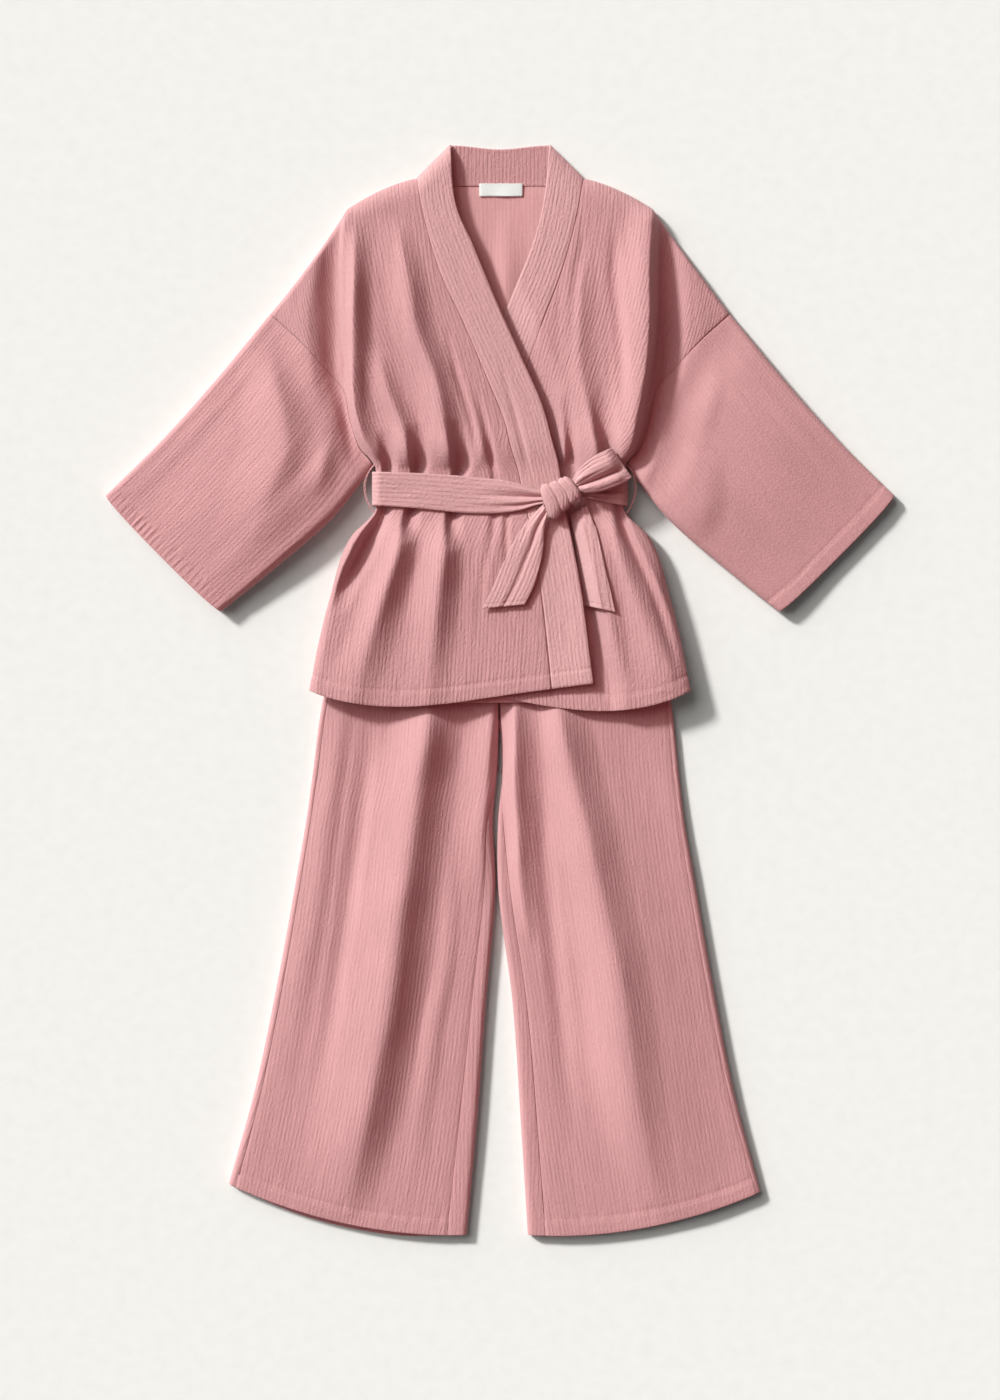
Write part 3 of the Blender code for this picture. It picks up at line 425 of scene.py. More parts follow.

# %% [markdown]
# The belt cinches the waist, so deep gathers run up and down from it. The fronts bulge beside the sleeves,
# and the drop shoulders dip there. Every gather is placed one by one, because its place gives the garment its
# character.

# %% The top's folds
TOP_FOLDS = [
    # hollows beside the body's long side folds
    crest((290, -190, 0, 10, 10), (340, -197, -4, 14, 10), (400, -210, -6, 20, 12), (480, -216, -6, 26, 14),
          (560, -217, -4, 26, 14), (620, -214, 0, 20, 14)),
    crest((290, 186, 0, 10, 10), (335, 194, -7, 12, 18), (400, 211, -10, 14, 26), (480, 218, -10, 16, 30),
          (560, 218, -7, 16, 28), (620, 214, 0, 14, 20)),
    # the body's edges stand up
    crest((300, -176, 0, 14, 16), (400, -188, 3, 10, 24), (520, -192, 4, 10, 26), (630, -196, 0, 12, 22)),
    crest((287, 160, 0, 14, 12), (304, 165, 10, 20, 12), (345, 175, 16, 32, 13), (430, 188, 19, 50, 12),
          (520, 192, 18, 52, 12), (600, 193, 9, 38, 14), (655, 194, 0, 24, 16)),
    # pinches at the belt, steep on their left
    crest((200, -158, 0, 12, 16), (232, -152, -9, 8, 14), (262, -149, -8, 7, 12), (290, -146, -9, 8, 16),
          (335, -152, 0, 14, 18)),
    crest((190, -120, 0, 14, 18), (230, -117, -12, 9, 18), (262, -110, -10, 8, 14),
          (292, -107, -12, 10, 20), (345, -112, 0, 16, 20)),
    crest((180, -62, 0, 14, 18), (230, -62, -11, 9, 18), (262, -58, -9, 8, 14), (292, -54, -12, 10, 22),
          (350, -62, 0, 16, 22)),
    crest((190, -10, 0, 9, 12), (230, -8, -3, 8, 12), (262, -8, -3, 6, 10), (290, -9, -2, 6, 12),
          (330, -14, 0, 8, 10)),
    crest((262, 138, 0, 8, 12), (290, 136, -12, 8, 18), (340, 130, -5, 12, 18), (380, 122, 0, 12, 16)),
    crest((262, 93, 0, 8, 12), (290, 92, -10, 7, 14), (340, 90, -4, 10, 14), (380, 84, 0, 10, 12)),
    # deep pockets below the belt
    crest((96, -212, 0, 16, 20), (140, -198, -9, 15, 24), (190, -176, -14, 13, 24),
          (228, -157, -11, 10, 15), (250, -154, 0, 10, 12)),
    crest((20, 226, 0, 24, 14), (80, 211, -9, 26, 16), (130, 193, -13, 26, 16), (180, 173, -14, 22, 14),
          (228, 156, -10, 14, 9), (255, 152, 0, 12, 9)),
    # small creases
    crest((290, -28, 0, 8, 8), (330, -34, -3, 9, 8), (400, -52, -3, 9, 8), (470, -70, 0, 9, 8)),
    crest((280, -8, 0, 8, 8), (300, -10, -4, 10, 7), (340, -17, -3, 10, 7), (390, -30, 0, 10, 8)),
    crest((270, 40, 0, 8, 8), (310, 32, -2, 8, 7), (370, 16, -1.5, 8, 7), (430, 0, 0, 8, 8)),
    crest((60, -32, 0, 9, 9), (150, -20, -1.6, 11, 9), (205, -10, -2, 12, 9), (236, -7, 0, 9, 8)),
    crest((80, 16, 0, 7, 7), (170, 10, -2, 8, 7), (225, 8, -3, 8, 7), (250, 6, 0, 8, 8)),
    crest((350, 160, 0, 12, 12), (430, 158, -4, 14, 12), (520, 152, -3, 14, 12), (610, 146, 0, 12, 12)),
    crest((430, 92, 0, 10, 12), (520, 98, -2.5, 10, 12), (600, 108, 0, 10, 12)),
]
TOP_RIDGES = [
    # sleeve roots
    crest((330, -214, 0, 26, 22), (370, -232, 5, 34, 26), (430, -246, 9, 44, 30), (500, -246, 9, 44, 32),
          (560, -236, 6, 40, 30), (610, -222, 0, 34, 22)),
    crest((380, 240, 0, 26, 34), (430, 254, 2, 30, 44), (480, 258, 3, 32, 48), (560, 240, 2, 26, 40),
          (610, 224, 0, 20, 34)),
    # wearer's right, up from the belt
    crest((286, -159, 0, 12, 14), (306, -163, 6, 12, 20), (330, -178, 8, 12, 24), (442, -188, 9, 10, 28),
          (530, -189, 9, 10, 26), (610, -188, 0, 10, 20)),
    crest((286, -119, 0, 16, 16), (300, -119, 9, 20, 22), (351, -129, 10, 22, 22), (376, -140, 9, 20, 20),
          (442, -157, 0, 20, 18)),
    crest((286, -66, 0, 18, 16), (300, -66, 9, 22, 22), (344, -73, 13, 28, 26), (410, -86, 13, 30, 27),
          (456, -104, 12, 30, 27), (536, -120, 10, 28, 27), (612, -137, 0, 22, 20)),
    crest((286, -26, 0, 12, 12), (302, -26, 3, 14, 16), (340, -34, 3, 14, 16), (400, -52, 0, 14, 14)),
    # wearer's left, up from the belt
    crest((286, 127, 0, 14, 16), (302, 127, 10, 16, 24), (330, 121, 11, 18, 26), (364, 114, 9, 20, 24),
          (410, 106, 6, 22, 24), (500, 102, 4, 22, 24), (570, 104, 0, 20, 20)),
    crest((286, 84, 0, 10, 14), (302, 86, 6, 12, 14), (340, 82, 4, 12, 14), (400, 74, 0, 12, 12)),
    crest((286, 152, 0, 10, 12), (306, 154, 6, 12, 16), (350, 152, 4, 14, 18), (410, 148, 0, 12, 14)),
    # wearer's right, down from the belt
    crest((90, -226, 0, 14, 20), (130, -216, 6, 14, 28), (165, -202, 9, 14, 34), (205, -184, 8, 12, 30),
          (234, -166, 0, 10, 20)),
    crest((-60, -206, 2, 60, 30), (0, -186, 4, 44, 32), (60, -168, 9, 30, 36), (143, -142, 15, 28, 32),
          (196, -130, 12, 24, 26), (214, -128, 6, 20, 22), (230, -126, 0.8, 16, 18), (240, -125, 0, 16, 16)),
    crest((-60, -98, 1.5, 40, 28), (0, -92, 4, 36, 30), (60, -86, 9, 32, 32), (117, -80, 15, 32, 32),
          (192, -72, 12, 28, 26), (210, -71, 6, 24, 22), (226, -70, 0.8, 18, 18), (240, -70, 0, 18, 16)),
    crest((90, -22, 0, 12, 14), (160, -17, 2, 14, 18), (206, -15, 1.5, 14, 16), (228, -14, 0, 12, 12)),
    # wearer's left, down from the belt
    crest((-8, 228, 0, 34, 18), (45, 213, 11, 38, 24), (103, 196, 15, 42, 28), (131, 187, 16, 42, 30),
          (177, 166, 15, 36, 30), (212, 151, 8, 26, 24), (230, 147, 2, 20, 18), (242, 145, 0, 18, 14)),
    crest((10, 156, 0, 14, 16), (90, 140, 8, 22, 24), (170, 124, 11, 22, 24), (216, 114, 8, 16, 18),
          (238, 112, 0, 12, 12)),
    # the band's free edge stands up
    crest((-30, 124, 0, 30, 12), (30, 118, 4, 36, 10), (120, 108, 5, 36, 10), (200, 93, 3, 30, 10),
          (240, 84, 0, 20, 8)),
]
print(len(TOP_FOLDS) + len(TOP_RIDGES), "folds in the top")


# %% [markdown]
# The height of any place on the top is its level plus the folds there. The front below follows the same
# height, but sinks under the other front's band, as a lap does.

# %% Heights over the top
TOP_LEAN = 1.25


def level(column, y):
    """How high the front or the back lies between its folds."""
    return np.maximum(read(LEVELS, column, y), 0)


def top_folds(x, y):
    """All the top's folds, above its level."""
    return fold_height(TOP_FOLDS, x, y) + fold_height(TOP_RIDGES, x, y, sharp, TOP_LEAN)


def top_height(x, y):
    """The height of the front that laps over."""
    return level("front", y) + top_folds(x, y)


EDGE_ROWS = sorted(TOP_ROWS, key=lambda row: row.edge[1])


def under_height(x, y):
    """The front that lies below goes down where the other front's band covers it."""
    free_edge = smooth([row.edge[1] for row in EDGE_ROWS], [row.edge[0] for row in EDGE_ROWS], y)
    z = top_height(x, y)
    lowest = np.minimum(z, level("back", y) + CLOTH + BAND + 2 * SEAM)
    drop = ease((free_edge + LAP_EASE - x) / LAP_EASE)
    return np.minimum(np.maximum(z - LAP_DROP * drop, lowest), z - 3.6 * ease(3 * drop))


print("front is", round(float(top_height(np.array([-130.0]), np.array([480.0]))[0]), 1), "mm up at the chest")

# %% [markdown]
# ## The shape of the trousers
#
# Each leg is a flat tube, sewn from a front and a wider back. The side seam and the inseam roll on to the
# front, and a long soft ridge runs down each leg with a steep side that faces right. Each row gives a leg's
# rims, how far its seams roll over, and how high it lies.

# %% The legs' rows and folds
LegRow = namedtuple("LegRow", "down outer inner side_roll in_roll height")
LEGS = {
    "right": [
        LegRow(0.00, (-165, 165), (-1, 165), 9, 0, 6.4),
        LegRow(0.09, (-202, 92), (-1, 92), 9, 0, 6.6),
        LegRow(0.21, (-230, -13), (-1, -13), 9, 0, 9.0),
        LegRow(0.33, (-244, -114), (-4, -114), 9, 0, 10.0),
        LegRow(0.385, (-250, -158), (-9, -160), 9, 8, 11.5),
        LegRow(0.49, (-264, -242), (-6, -247), 10, 17, 13.0),
        LegRow(0.66, (-290, -385), (-18, -403), 11, 22, 13.5),
        LegRow(0.83, (-318, -518), (-30, -562), 12, 27, 13.5),
        LegRow(1.00, (-352, -641), (-43, -707), 13, 30, 12.5),
    ],
    "left": [
        LegRow(0.00, (165, 165), (-1, 165), 9, 0, 6.4),
        LegRow(0.09, (202, 92), (-1, 92), 9, 0, 6.6),
        LegRow(0.21, (222, -13), (-1, -13), 9, 0, 9.0),
        LegRow(0.33, (233, -114), (2, -114), 10, 0, 10.0),
        LegRow(0.385, (238, -158), (-2, -160), 10, 8, 11.5),
        LegRow(0.49, (252, -242), (-3, -247), 12, 18, 13.0),
        LegRow(0.66, (277, -385), (16, -403), 12, 22, 13.5),
        LegRow(0.83, (304, -522), (27, -562), 11, 25, 13.5),
        LegRow(1.00, (338, -651), (36, -707), 9, 27, 12.5),
    ],
}
LEG_FOLDS = [
    crest((-560, -290, 0, 26, 24), (-350, -252, 2.5, 26, 22), (-180, -226, 3, 24, 20),
          (-50, -208, 2, 22, 18), (10, -200, 0, 20, 18)),
    crest((-540, -236, 0, 20, 20), (-330, -204, -3, 20, 20), (-120, -176, -3, 20, 18),
          (-20, -164, 0, 18, 18)),
    crest((-640, -110, 0, 20, 20), (-480, -92, 2.5, 20, 20), (-330, -66, 2, 18, 16), (-200, -60, 0, 14, 14)),
    crest((-600, 96, 0, 20, 20), (-420, 78, -3, 20, 20), (-250, 62, -3, 18, 18), (-120, 52, 0, 16, 16)),
    crest((-690, -215, 0, 80, 50), (-560, -178, 5, 120, 60), (-350, -148, 6, 110, 60),
          (-150, -118, 5, 90, 50), (-40, -96, 3, 80, 40), (10, -90, 0, 60, 30)),
    crest((-690, 230, 0, 60, 90), (-560, 180, 10, 60, 130), (-350, 150, 11, 60, 120),
          (-150, 105, 9, 50, 110),
          (-40, 84, 4, 40, 90), (10, 76, 0, 30, 60)),
    crest((-10, 2, 0, 6, 6), (-40, 2, -4, 8, 8), (-100, 1, -5, 8, 8), (-140, 0, 0, 6, 6)),
]
LEG_RIDGES = [
    crest((-690, -202, 0, 44, 38), (-610, -185, 8, 52, 42), (-530, -169, 14, 56, 46),
          (-404, -143, 17, 56, 48), (-265, -125, 18, 52, 50), (-186, -113, 18, 48, 50),
          (-126, -105, 20, 44, 50), (-47, -95, 19, 38, 46), (-16, -92, 10, 30, 40), (30, -88, 0, 30, 30)),
    crest((-280, -26, 0, 22, 14), (-200, -24, 6, 26, 18), (-120, -18, 9, 26, 18), (-47, -12, 9, 26, 14),
          (0, -10, 0, 20, 10)),
    crest((-330, 40, 0, 10, 26), (-265, 30, 8, 12, 30), (-173, 22, 16, 12, 38), (-120, 20, 20, 12, 42),
          (-40, 18, 18, 12, 36), (-5, 18, 6, 12, 30), (30, 18, 0, 12, 24)),
    crest((-680, 206, 0, 40, 34), (-594, 191, 5, 56, 38), (-530, 175, 9, 62, 42), (-404, 160, 12, 64, 42),
          (-278, 135, 14, 62, 44), (-173, 109, 15, 54, 44), (-126, 97, 16, 48, 44), (-38, 77, 16, 36, 42),
          (-5, 72, 8, 28, 36), (30, 68, 0, 24, 30)),
]
LEG_RIDGE_SHARE, LEG_LEAN = 0.88, 1.4
print(len(LEG_FOLDS) + len(LEG_RIDGES), "folds in the trousers")

# %% [markdown]
# A tube of cloth laid flat is a ring: flat below, round at both rims, and flat above. A place on it is a
# distance round it, starting at the outer rim. With that, the front and the back are two stretches of one
# ring, and their seams can roll over a rim as they do in cloth.


# %% Rings and legs
def under_length(width, radius, inner):
    """The distance from one rim to the other along the lower side."""
    return width - radius - inner + (radius + inner) * math.pi / 2


def ring(place, width, radius, inner_radius=None):
    """How far across and how high a place on the ring is. Its two rims may differ."""
    inner = radius if inner_radius is None else inner_radius
    length = under_length(width, radius, inner)
    upper = (place < 0) | (place > length)
    along = np.where(place < 0, -place, np.where(place > length, 2 * length - place, place))
    near_outer = along < length / 2
    r = np.maximum(np.where(near_outer, radius, inner), 1e-6)
    from_edge = np.where(near_outer, along, length - along)
    turn = np.clip(from_edge / r, 0, math.pi / 2)
    inset = r * (1 - np.cos(turn)) + np.maximum(from_edge - r * math.pi / 2, 0)
    across = np.where(near_outer, inset, width - inset)
    height = np.where(upper, radius + r * np.sin(turn), r * (1 - np.sin(turn)))
    return across, height


def leg_place(side, across, width, v):
    """Where a place across a leg lies, seen from above."""
    rows = LEGS[side]
    outer, inner = point(rows, "outer", v), point(rows, "inner", v)
    share = across / width
    xy = outer[:, None] + (inner - outer)[:, None] * share * width / (width + SEAM)
    xy[1] -= LEG_SAG * ease((v - 0.3) / 0.7) * 4 * share * (1 - share)
    return xy


def leg_sizes(side, v):
    """A leg's width, rim radius and the two seams' rolls at this row."""
    rows = LEGS[side]
    width = np.linalg.norm(point(rows, "outer", v) - point(rows, "inner", v)) - SEAM
    return width, read(rows, "height", v) / 2, read(rows, "side_roll", v), read(rows, "in_roll", v)


def on_leg(side, place, v, inner_radius=None):
    """Points at these distances round a leg's ring."""
    width, radius, _, _ = leg_sizes(side, v)
    across, z = ring(place, width, radius, inner_radius)
    x, y = leg_place(side, across, width, v)
    lifted = np.clip(z / radius - 1, 0, 1)
    folds = fold_height(LEG_FOLDS, x, y) + LEG_RIDGE_SHARE * fold_height(LEG_RIDGES, x, y, sharp, LEG_LEAN)
    return np.stack([x, y, z + lifted * folds], 1)


def leg_front(side):
    """A leg's front, between the two rolled seams."""
    def surface(f, v):
        width, radius, side_roll, in_roll = leg_sizes(side, v)
        length = under_length(width, radius, radius)
        start, end = side_roll + HALF_SEAM, length - in_roll - HALF_SEAM
        return on_leg(side, -(start + (end - start) * f), v)

    return surface


def leg_back(side):
    """A leg's back, under the leg and up round both rims to the seams."""
    def surface(f, v):
        width, radius, side_roll, in_roll = leg_sizes(side, v)
        inner = radius if v >= CROTCH - 1e-6 else 0.0
        length = under_length(width, radius, inner)
        turn, inner_turn = radius * math.pi / 2, max(inner * math.pi / 2, 4.0)
        places = [-side_roll + HALF_SEAM, 0, turn, length - inner_turn, length, length + in_roll]
        places[-1] = max(places[-1] - HALF_SEAM, length)
        if places[-1] <= length:
            places[-2:] = [length - 1.0, length - HALF_SEAM]
        points = on_leg(side, np.interp(f, [0, 0.12, 0.24, 0.76, 0.88, 1], places), v, inner)
        if side == "right":
            middle = np.clip((f - 0.24) / 0.52, 0, 1)
            points[:, 1] -= 6.0 * ease((v - 0.8) / 0.2) * ease(4 * middle * (1 - middle))
        return points

    return surface


print("right leg is", round(float(leg_sizes("right", 1.0)[0])), "mm wide at its hem, laid flat")


# %% [markdown]
# A front is read from the table's rows. Its side is folded over steeply, its shoulder rolls down to the
# floor, and its hem hangs a little lower in the middle. Each surface is a function of two shares: f goes
# across the panel and v down it.


# %% Fronts
def front_plan(f, v, mirrored):
    """Where a front lies, seen from above."""
    names = ["seam", "fold", "under_lap" if mirrored else "lap"]
    points = [point(TOP_ROWS, name, v) for name in names]
    if mirrored:
        points[:2] = [p * (-1, 1) for p in points[:2]]
    tucked = points[2] - points[1]
    points[2] = points[2] + tucked / np.linalg.norm(tucked)  # a millimetre goes under the band
    xy = np.array([np.interp(f, [0, FOLD_STOP, 1], [p[k] for p in points]) for k in (0, 1)])
    share = np.clip((f - FOLD_STOP) / (1 - FOLD_STOP), 0, 1)
    arch = SHOULDER_ARCH * 4 * share * (1 - share) * (1 - v)
    strip = np.clip(f / FOLD_STOP, 0, 1)
    arch = arch - (2.0 if mirrored else 5.5) * 4 * strip * (1 - strip) * (1 - ease(v / 0.12))
    across = np.clip((xy[0] - points[0][0]) / (points[2][0] - points[0][0]), 0, 1)
    return xy + np.array([0 * f, arch - sag(across, v) * (1.25 if mirrored else 1)])


def sag(across, v):
    """How far the hem hangs below a straight line, from the side seam across to the band."""
    places = [0, 0.09, 0.2, 0.385, 0.55, 0.75, 0.92, 1]
    return HEM_SAG * ease((v - 0.75) / 0.25) * smooth(places, [0, 0.45, 0.8, 1, 0.86, 0.48, 0.14, 0], across)


def front(mirrored):
    """A front's surface. The mirrored one lies below, on the wearer's left."""
    def surface(f, v):
        f = f * (1 - 1e-3)
        x, y = front_plan(f, v, mirrored)
        z = under_height(x, y) if mirrored else top_height(x, y)
        seam, fold = point(TOP_ROWS, "seam", v), point(TOP_ROWS, "fold", v)
        strip = max(np.linalg.norm(fold - seam), 1.0)
        share = np.clip(f / FOLD_STOP, 0, 1)
        cliff = ease((share - 1) * strip / min(CLIFF, strip) + 1)
        side = rounded(share)
        below = ease((v - UNDERARM + 0.03) / 0.03)
        seam_z = read(TOP_ROWS, "seam_z", v)
        low = seam_z + (1 - below) * (3 + top_folds(x, y)) + below * HALF_SEAM
        z = low + (z - low) * (cliff + (side - cliff) * below)
        top_x, top_y = front_plan(f, 0.0, mirrored)
        from_shoulder = np.hypot(x - top_x, y - top_y)
        reach = SHOULDER_EDGE + (ROLL - SHOULDER_EDGE) * ease((f - 0.12) / 0.3)
        edge = SHOULDER_EDGE + HALF_SEAM
        z = edge + (z - edge) * rounded(from_shoulder / reach)
        return np.stack([x, y, z], 1)

    return surface


print("the fronts' hems hang", HEM_SAG, "mm lower in the middle")

# %% [markdown]
# The collar band is a folded strip sewn to the front's long edge, and stands up behind the neck. The back is
# nearly flat, since it lies on the floor or on the trousers. Only its neck shows.


# %% Bands, back and neck stand
def band(mirrored):
    """The collar band's surface, beside its front."""
    names = ["under_lap", "under_edge"] if mirrored else ["lap", "edge"]

    def surface(f, v):
        a, b = (point(TOP_ROWS, name, v) for name in names)
        gap = SEAM / np.linalg.norm(b - a)
        share = gap + (1 - gap) * f
        x, y = a[:, None] + (b - a)[:, None] * share
        z = under_height(x, y) if mirrored else top_height(x, y)
        top_a, top_b = (point(TOP_ROWS, name, 0.0) for name in names)
        top = top_a[:, None] + (top_b - top_a)[:, None] * share
        edge = SHOULDER_EDGE + HALF_SEAM - 2 * share
        z = edge + (z - edge) * rounded(np.hypot(x - top[0], y - top[1]) / ROLL)
        return np.stack([x, y, z], 1)

    return surface


NECK_FLAT, NECK_SEAM_Y, NECK_STAND_TOP = 62.0, 654.0, 703.0


def back_plan(f, v):
    """Where the back lies, seen from above."""
    half = np.minimum(f, 1 - f) * 2
    seam, fold, neck = (point(TOP_ROWS, n, v) for n in ("seam", "fold", "lap"))
    y = read(TOP_ROWS, "back_y", v)
    neck = np.array([neck[0] if v < 0.05 else -100.0, y + 10 * (1 - ease(v / 0.1))])
    points = [seam, fold, neck, np.array([-NECK_FLAT, y]), np.array([0.0, y])]
    stops = [0, 0.16, 0.5, 0.7, 1]
    x, y = (np.interp(half, stops, [p[k] for p in points]) for k in (0, 1))
    share = np.clip((half - 0.16) / 0.34, 0, 1)
    y = y + SHOULDER_ARCH * 4 * share * (1 - share) * (1 - v)
    strip = np.clip(half / 0.16, 0, 1)
    y = y - np.where(f > 0.5, 2.5, 6.0) * 4 * strip * (1 - strip) * (1 - ease(v / 0.12))
    y = y - 0.6 * HEM_SAG * ease((v - 0.75) / 0.25) * ease(half * 1.6)
    return np.where(f > 0.5, -x, x), y


def back(f, v):
    """The back's surface."""
    x, y = back_plan(f, v)
    half = np.minimum(f, 1 - f) * 2
    z = level("back", y)
    seam_z = read(TOP_ROWS, "seam_z", v) - 2 * SEAM
    below = ease((v - UNDERARM + 0.03) / 0.03)
    z = z + (seam_z - z) * (1 - rounded(half / 0.16)) * below
    top_x, top_y = back_plan(f, 0.0)
    from_shoulder = np.hypot(x - top_x, y - top_y)
    at_shoulder = 1 - ease((half - 0.5) / 0.2)
    edge = SHOULDER_EDGE - HALF_SEAM
    z = z + (edge - z) * (1 - rounded(from_shoulder / (2 * SHOULDER_EDGE))) * at_shoulder
    return np.stack([x, y, z], 1)


def neck_stand(f, v):
    """The collar band behind the neck, lying flat."""
    half_top, half_seam = 63.0, 108.6
    x = (half_top + (half_seam - half_top) * v) * (1 - 2 * f)
    side = np.abs(1 - 2 * f)
    top = NECK_STAND_TOP + 5 * ease(side)
    flat = NECK_FLAT / half_seam
    seam = NECK_SEAM_Y + SEAM + 10.0 * np.clip((side - flat) / (1 - flat), 0, 1)
    return np.stack([x, top + (seam - top) * v, 0.6 + 0 * x], 1)


across_band = point(TOP_ROWS, "edge", 0.3) - point(TOP_ROWS, "lap", 0.3)
print("collar band is", round(float(np.linalg.norm(across_band))), "mm wide")

# %% [markdown]
# A sleeve is cut in one piece and sewn along its lower edge. It hangs from the front's and back's seam, and
# is open at the cuff. So it is a closed ring again, and its folds rise on the upper side only.

# %% Sleeves
SLEEVE_TOP = [(-299, 487), (-368, 403), (-438, 325), (-511, 253)]
SLEEVE_LOWER = [(-164, 290), (-217, 222), (-292, 157), (-361, 102)]
SleeveFold = namedtuple("SleeveFold", "down share height narrow")


def sleeve_fold(rows, share, v):
    """A fold that runs down the sleeve: where across it lies, how high it is and how wide."""
    where, height, narrow = (read(rows, c, v) for c in ("share", "height", "narrow"))
    return height * soft(np.clip(np.abs(share - where) / narrow, 0, 1))


SLEEVE_FOLDS = {
    "right": [
        [SleeveFold(0, 0.50, 8.0, 0.50), SleeveFold(0.5, 0.62, 13.0, 0.60), SleeveFold(1, 0.64, 5.0, 0.60)],
        [SleeveFold(0, 0.86, 3.0, 0.12), SleeveFold(0.3, 0.84, 2.5, 0.12), SleeveFold(1, 0.80, 0.0, 0.12)],
        [SleeveFold(0, 0.13, 0.0, 0.07), SleeveFold(0.4, 0.13, 1.0, 0.07), SleeveFold(1, 0.12, 0.3, 0.08)],
    ],
    "left": [
        [SleeveFold(0, 0.30, 0.0, 0.30), SleeveFold(0.35, 0.32, 5.5, 0.36), SleeveFold(1, 0.36, 0.0, 0.40)],
        [SleeveFold(0, 0.62, 0.0, 0.20), SleeveFold(0.4, 0.66, 2.5, 0.24), SleeveFold(1, 0.66, 0.0, 0.24)],
        [SleeveFold(0, 0.14, 0.0, 0.07), SleeveFold(0.4, 0.15, 1.2, 0.07), SleeveFold(1, 0.15, 0.5, 0.08)],
    ],
}
SLEEVE_RIDGES = {
    "right": [
        crest((190, -318, 0, 56, 50), (230, -308, 4, 60, 50), (270, -292, 7, 64, 46), (310, -276, 9, 64, 42),
              (352, -280, 9, 60, 36), (412, -292, 8, 50, 32), (452, -296, 4, 44, 26), (475, -296, 0, 36, 20)),
        crest((250, -240, 0, 30, 20), (285, -230, 5, 34, 26), (345, -212, 5, 30, 22), (380, -204, 0, 24, 14)),
    ],
    "left": [
        crest((190, 252, 0, 60, 34), (232, 258, 4, 70, 38), (262, 262, 3, 70, 36), (310, 266, 0, 60, 30)),
        crest((325, 254, 0, 50, 26), (368, 262, 2.5, 60, 30), (404, 270, 2, 60, 28), (440, 276, 0, 50, 24)),
        crest((240, 196, 0, 16, 36), (290, 208, -6, 18, 50), (345, 220, -10, 20, 54), (400, 234, -10, 22, 54),
              (450, 250, 0, 20, 40)),
    ],
}
CUFF_BOW, CUFF_DROP = 6.5, 2.2  # the cuff's edge bows out, and its rims lie lower
UNDERARM_LIFT = 7.0  # the lower edge stands off the floor near the body


def sleeve(side):
    """A sleeve's surface, round its ring and down to the cuff."""
    sign = -1 if side == "left" else 1
    cuff = np.array([SLEEVE_TOP[-1], SLEEVE_LOWER[-1]], float)
    root = np.array([SLEEVE_TOP[0], SLEEVE_LOWER[0]], float)

    def plan(share, v):
        start = np.array([read(TOP_ROWS, "seam", share * UNDERARM, k) for k in (0, 1)])
        last = point(TOP_ROWS, "seam", UNDERARM)
        start = start + (root[1] - last)[:, None] * ease((share - 0.85) / 0.15)
        end = cuff[0][:, None] + (cuff[1] - cuff[0])[:, None] * share
        end = end + np.array([[-0.72], [-0.7]]) * CUFF_BOW * rounded(2.4 * share * (1 - share))
        middle = start + (end - start) * v
        for weight, edge, k in ((1 - share, SLEEVE_TOP, 0), (share, SLEEVE_LOWER, 1)):
            straight = root[k] + (cuff[k] - root[k]) * v
            middle = middle + weight * (curve(edge, v) - straight)[:, None]
        away = np.array([-0.75, -0.66])[:, None] * 1.5 * SEAM
        return middle + away * (1 - v)

    def surface(f, v):
        f = np.mod(f, 2)
        share = np.where(f <= 1, f, 2 - f)
        ends = plan(np.array([0.0, 1.0]), v)
        width = np.linalg.norm(ends[:, 1] - ends[:, 0])
        radius = SLEEVE_HEIGHT / 2 - 2 * (1 - ease(v / 0.2)) - CUFF_DROP * ease((v - 0.45) / 0.5)
        bulge = radius * rounded(np.minimum(share, 1 - share) * width / radius)
        z = radius + np.where(f <= 1, -bulge, bulge)
        x, y = plan(share, v)
        lifted = np.clip(z / radius - 1, 0, 1)
        folds = sum(sleeve_fold(rows, share, v) for rows in SLEEVE_FOLDS[side])
        folds = folds + fold_height(SLEEVE_RIDGES[side], sign * x, y, sharp if side == "right" else soft)
        blend = ease(v / 0.25)
        z = z + lifted * (blend * folds + (1 - blend) * top_folds(sign * x, y))
        stand = UNDERARM_LIFT * ease((share - 0.55) / 0.45) * ease(v / 0.12)
        z = z + stand * (1 - 0.5 * ease((v - 0.2) / 0.6))
        return np.stack([sign * x, y, z], 1)

    return surface


print("cuff opening is", round(math.dist(SLEEVE_TOP[-1], SLEEVE_LOWER[-1])), "mm wide, laid flat")

# %% [markdown]
# ## From a surface to a shell of cloth
#
# A panel is sampled as a grid. raise_by lifts or lowers it along its own normal. It knows how far each point
# is from every edge, and that makes crinkles, hems, stitched lines and seams.


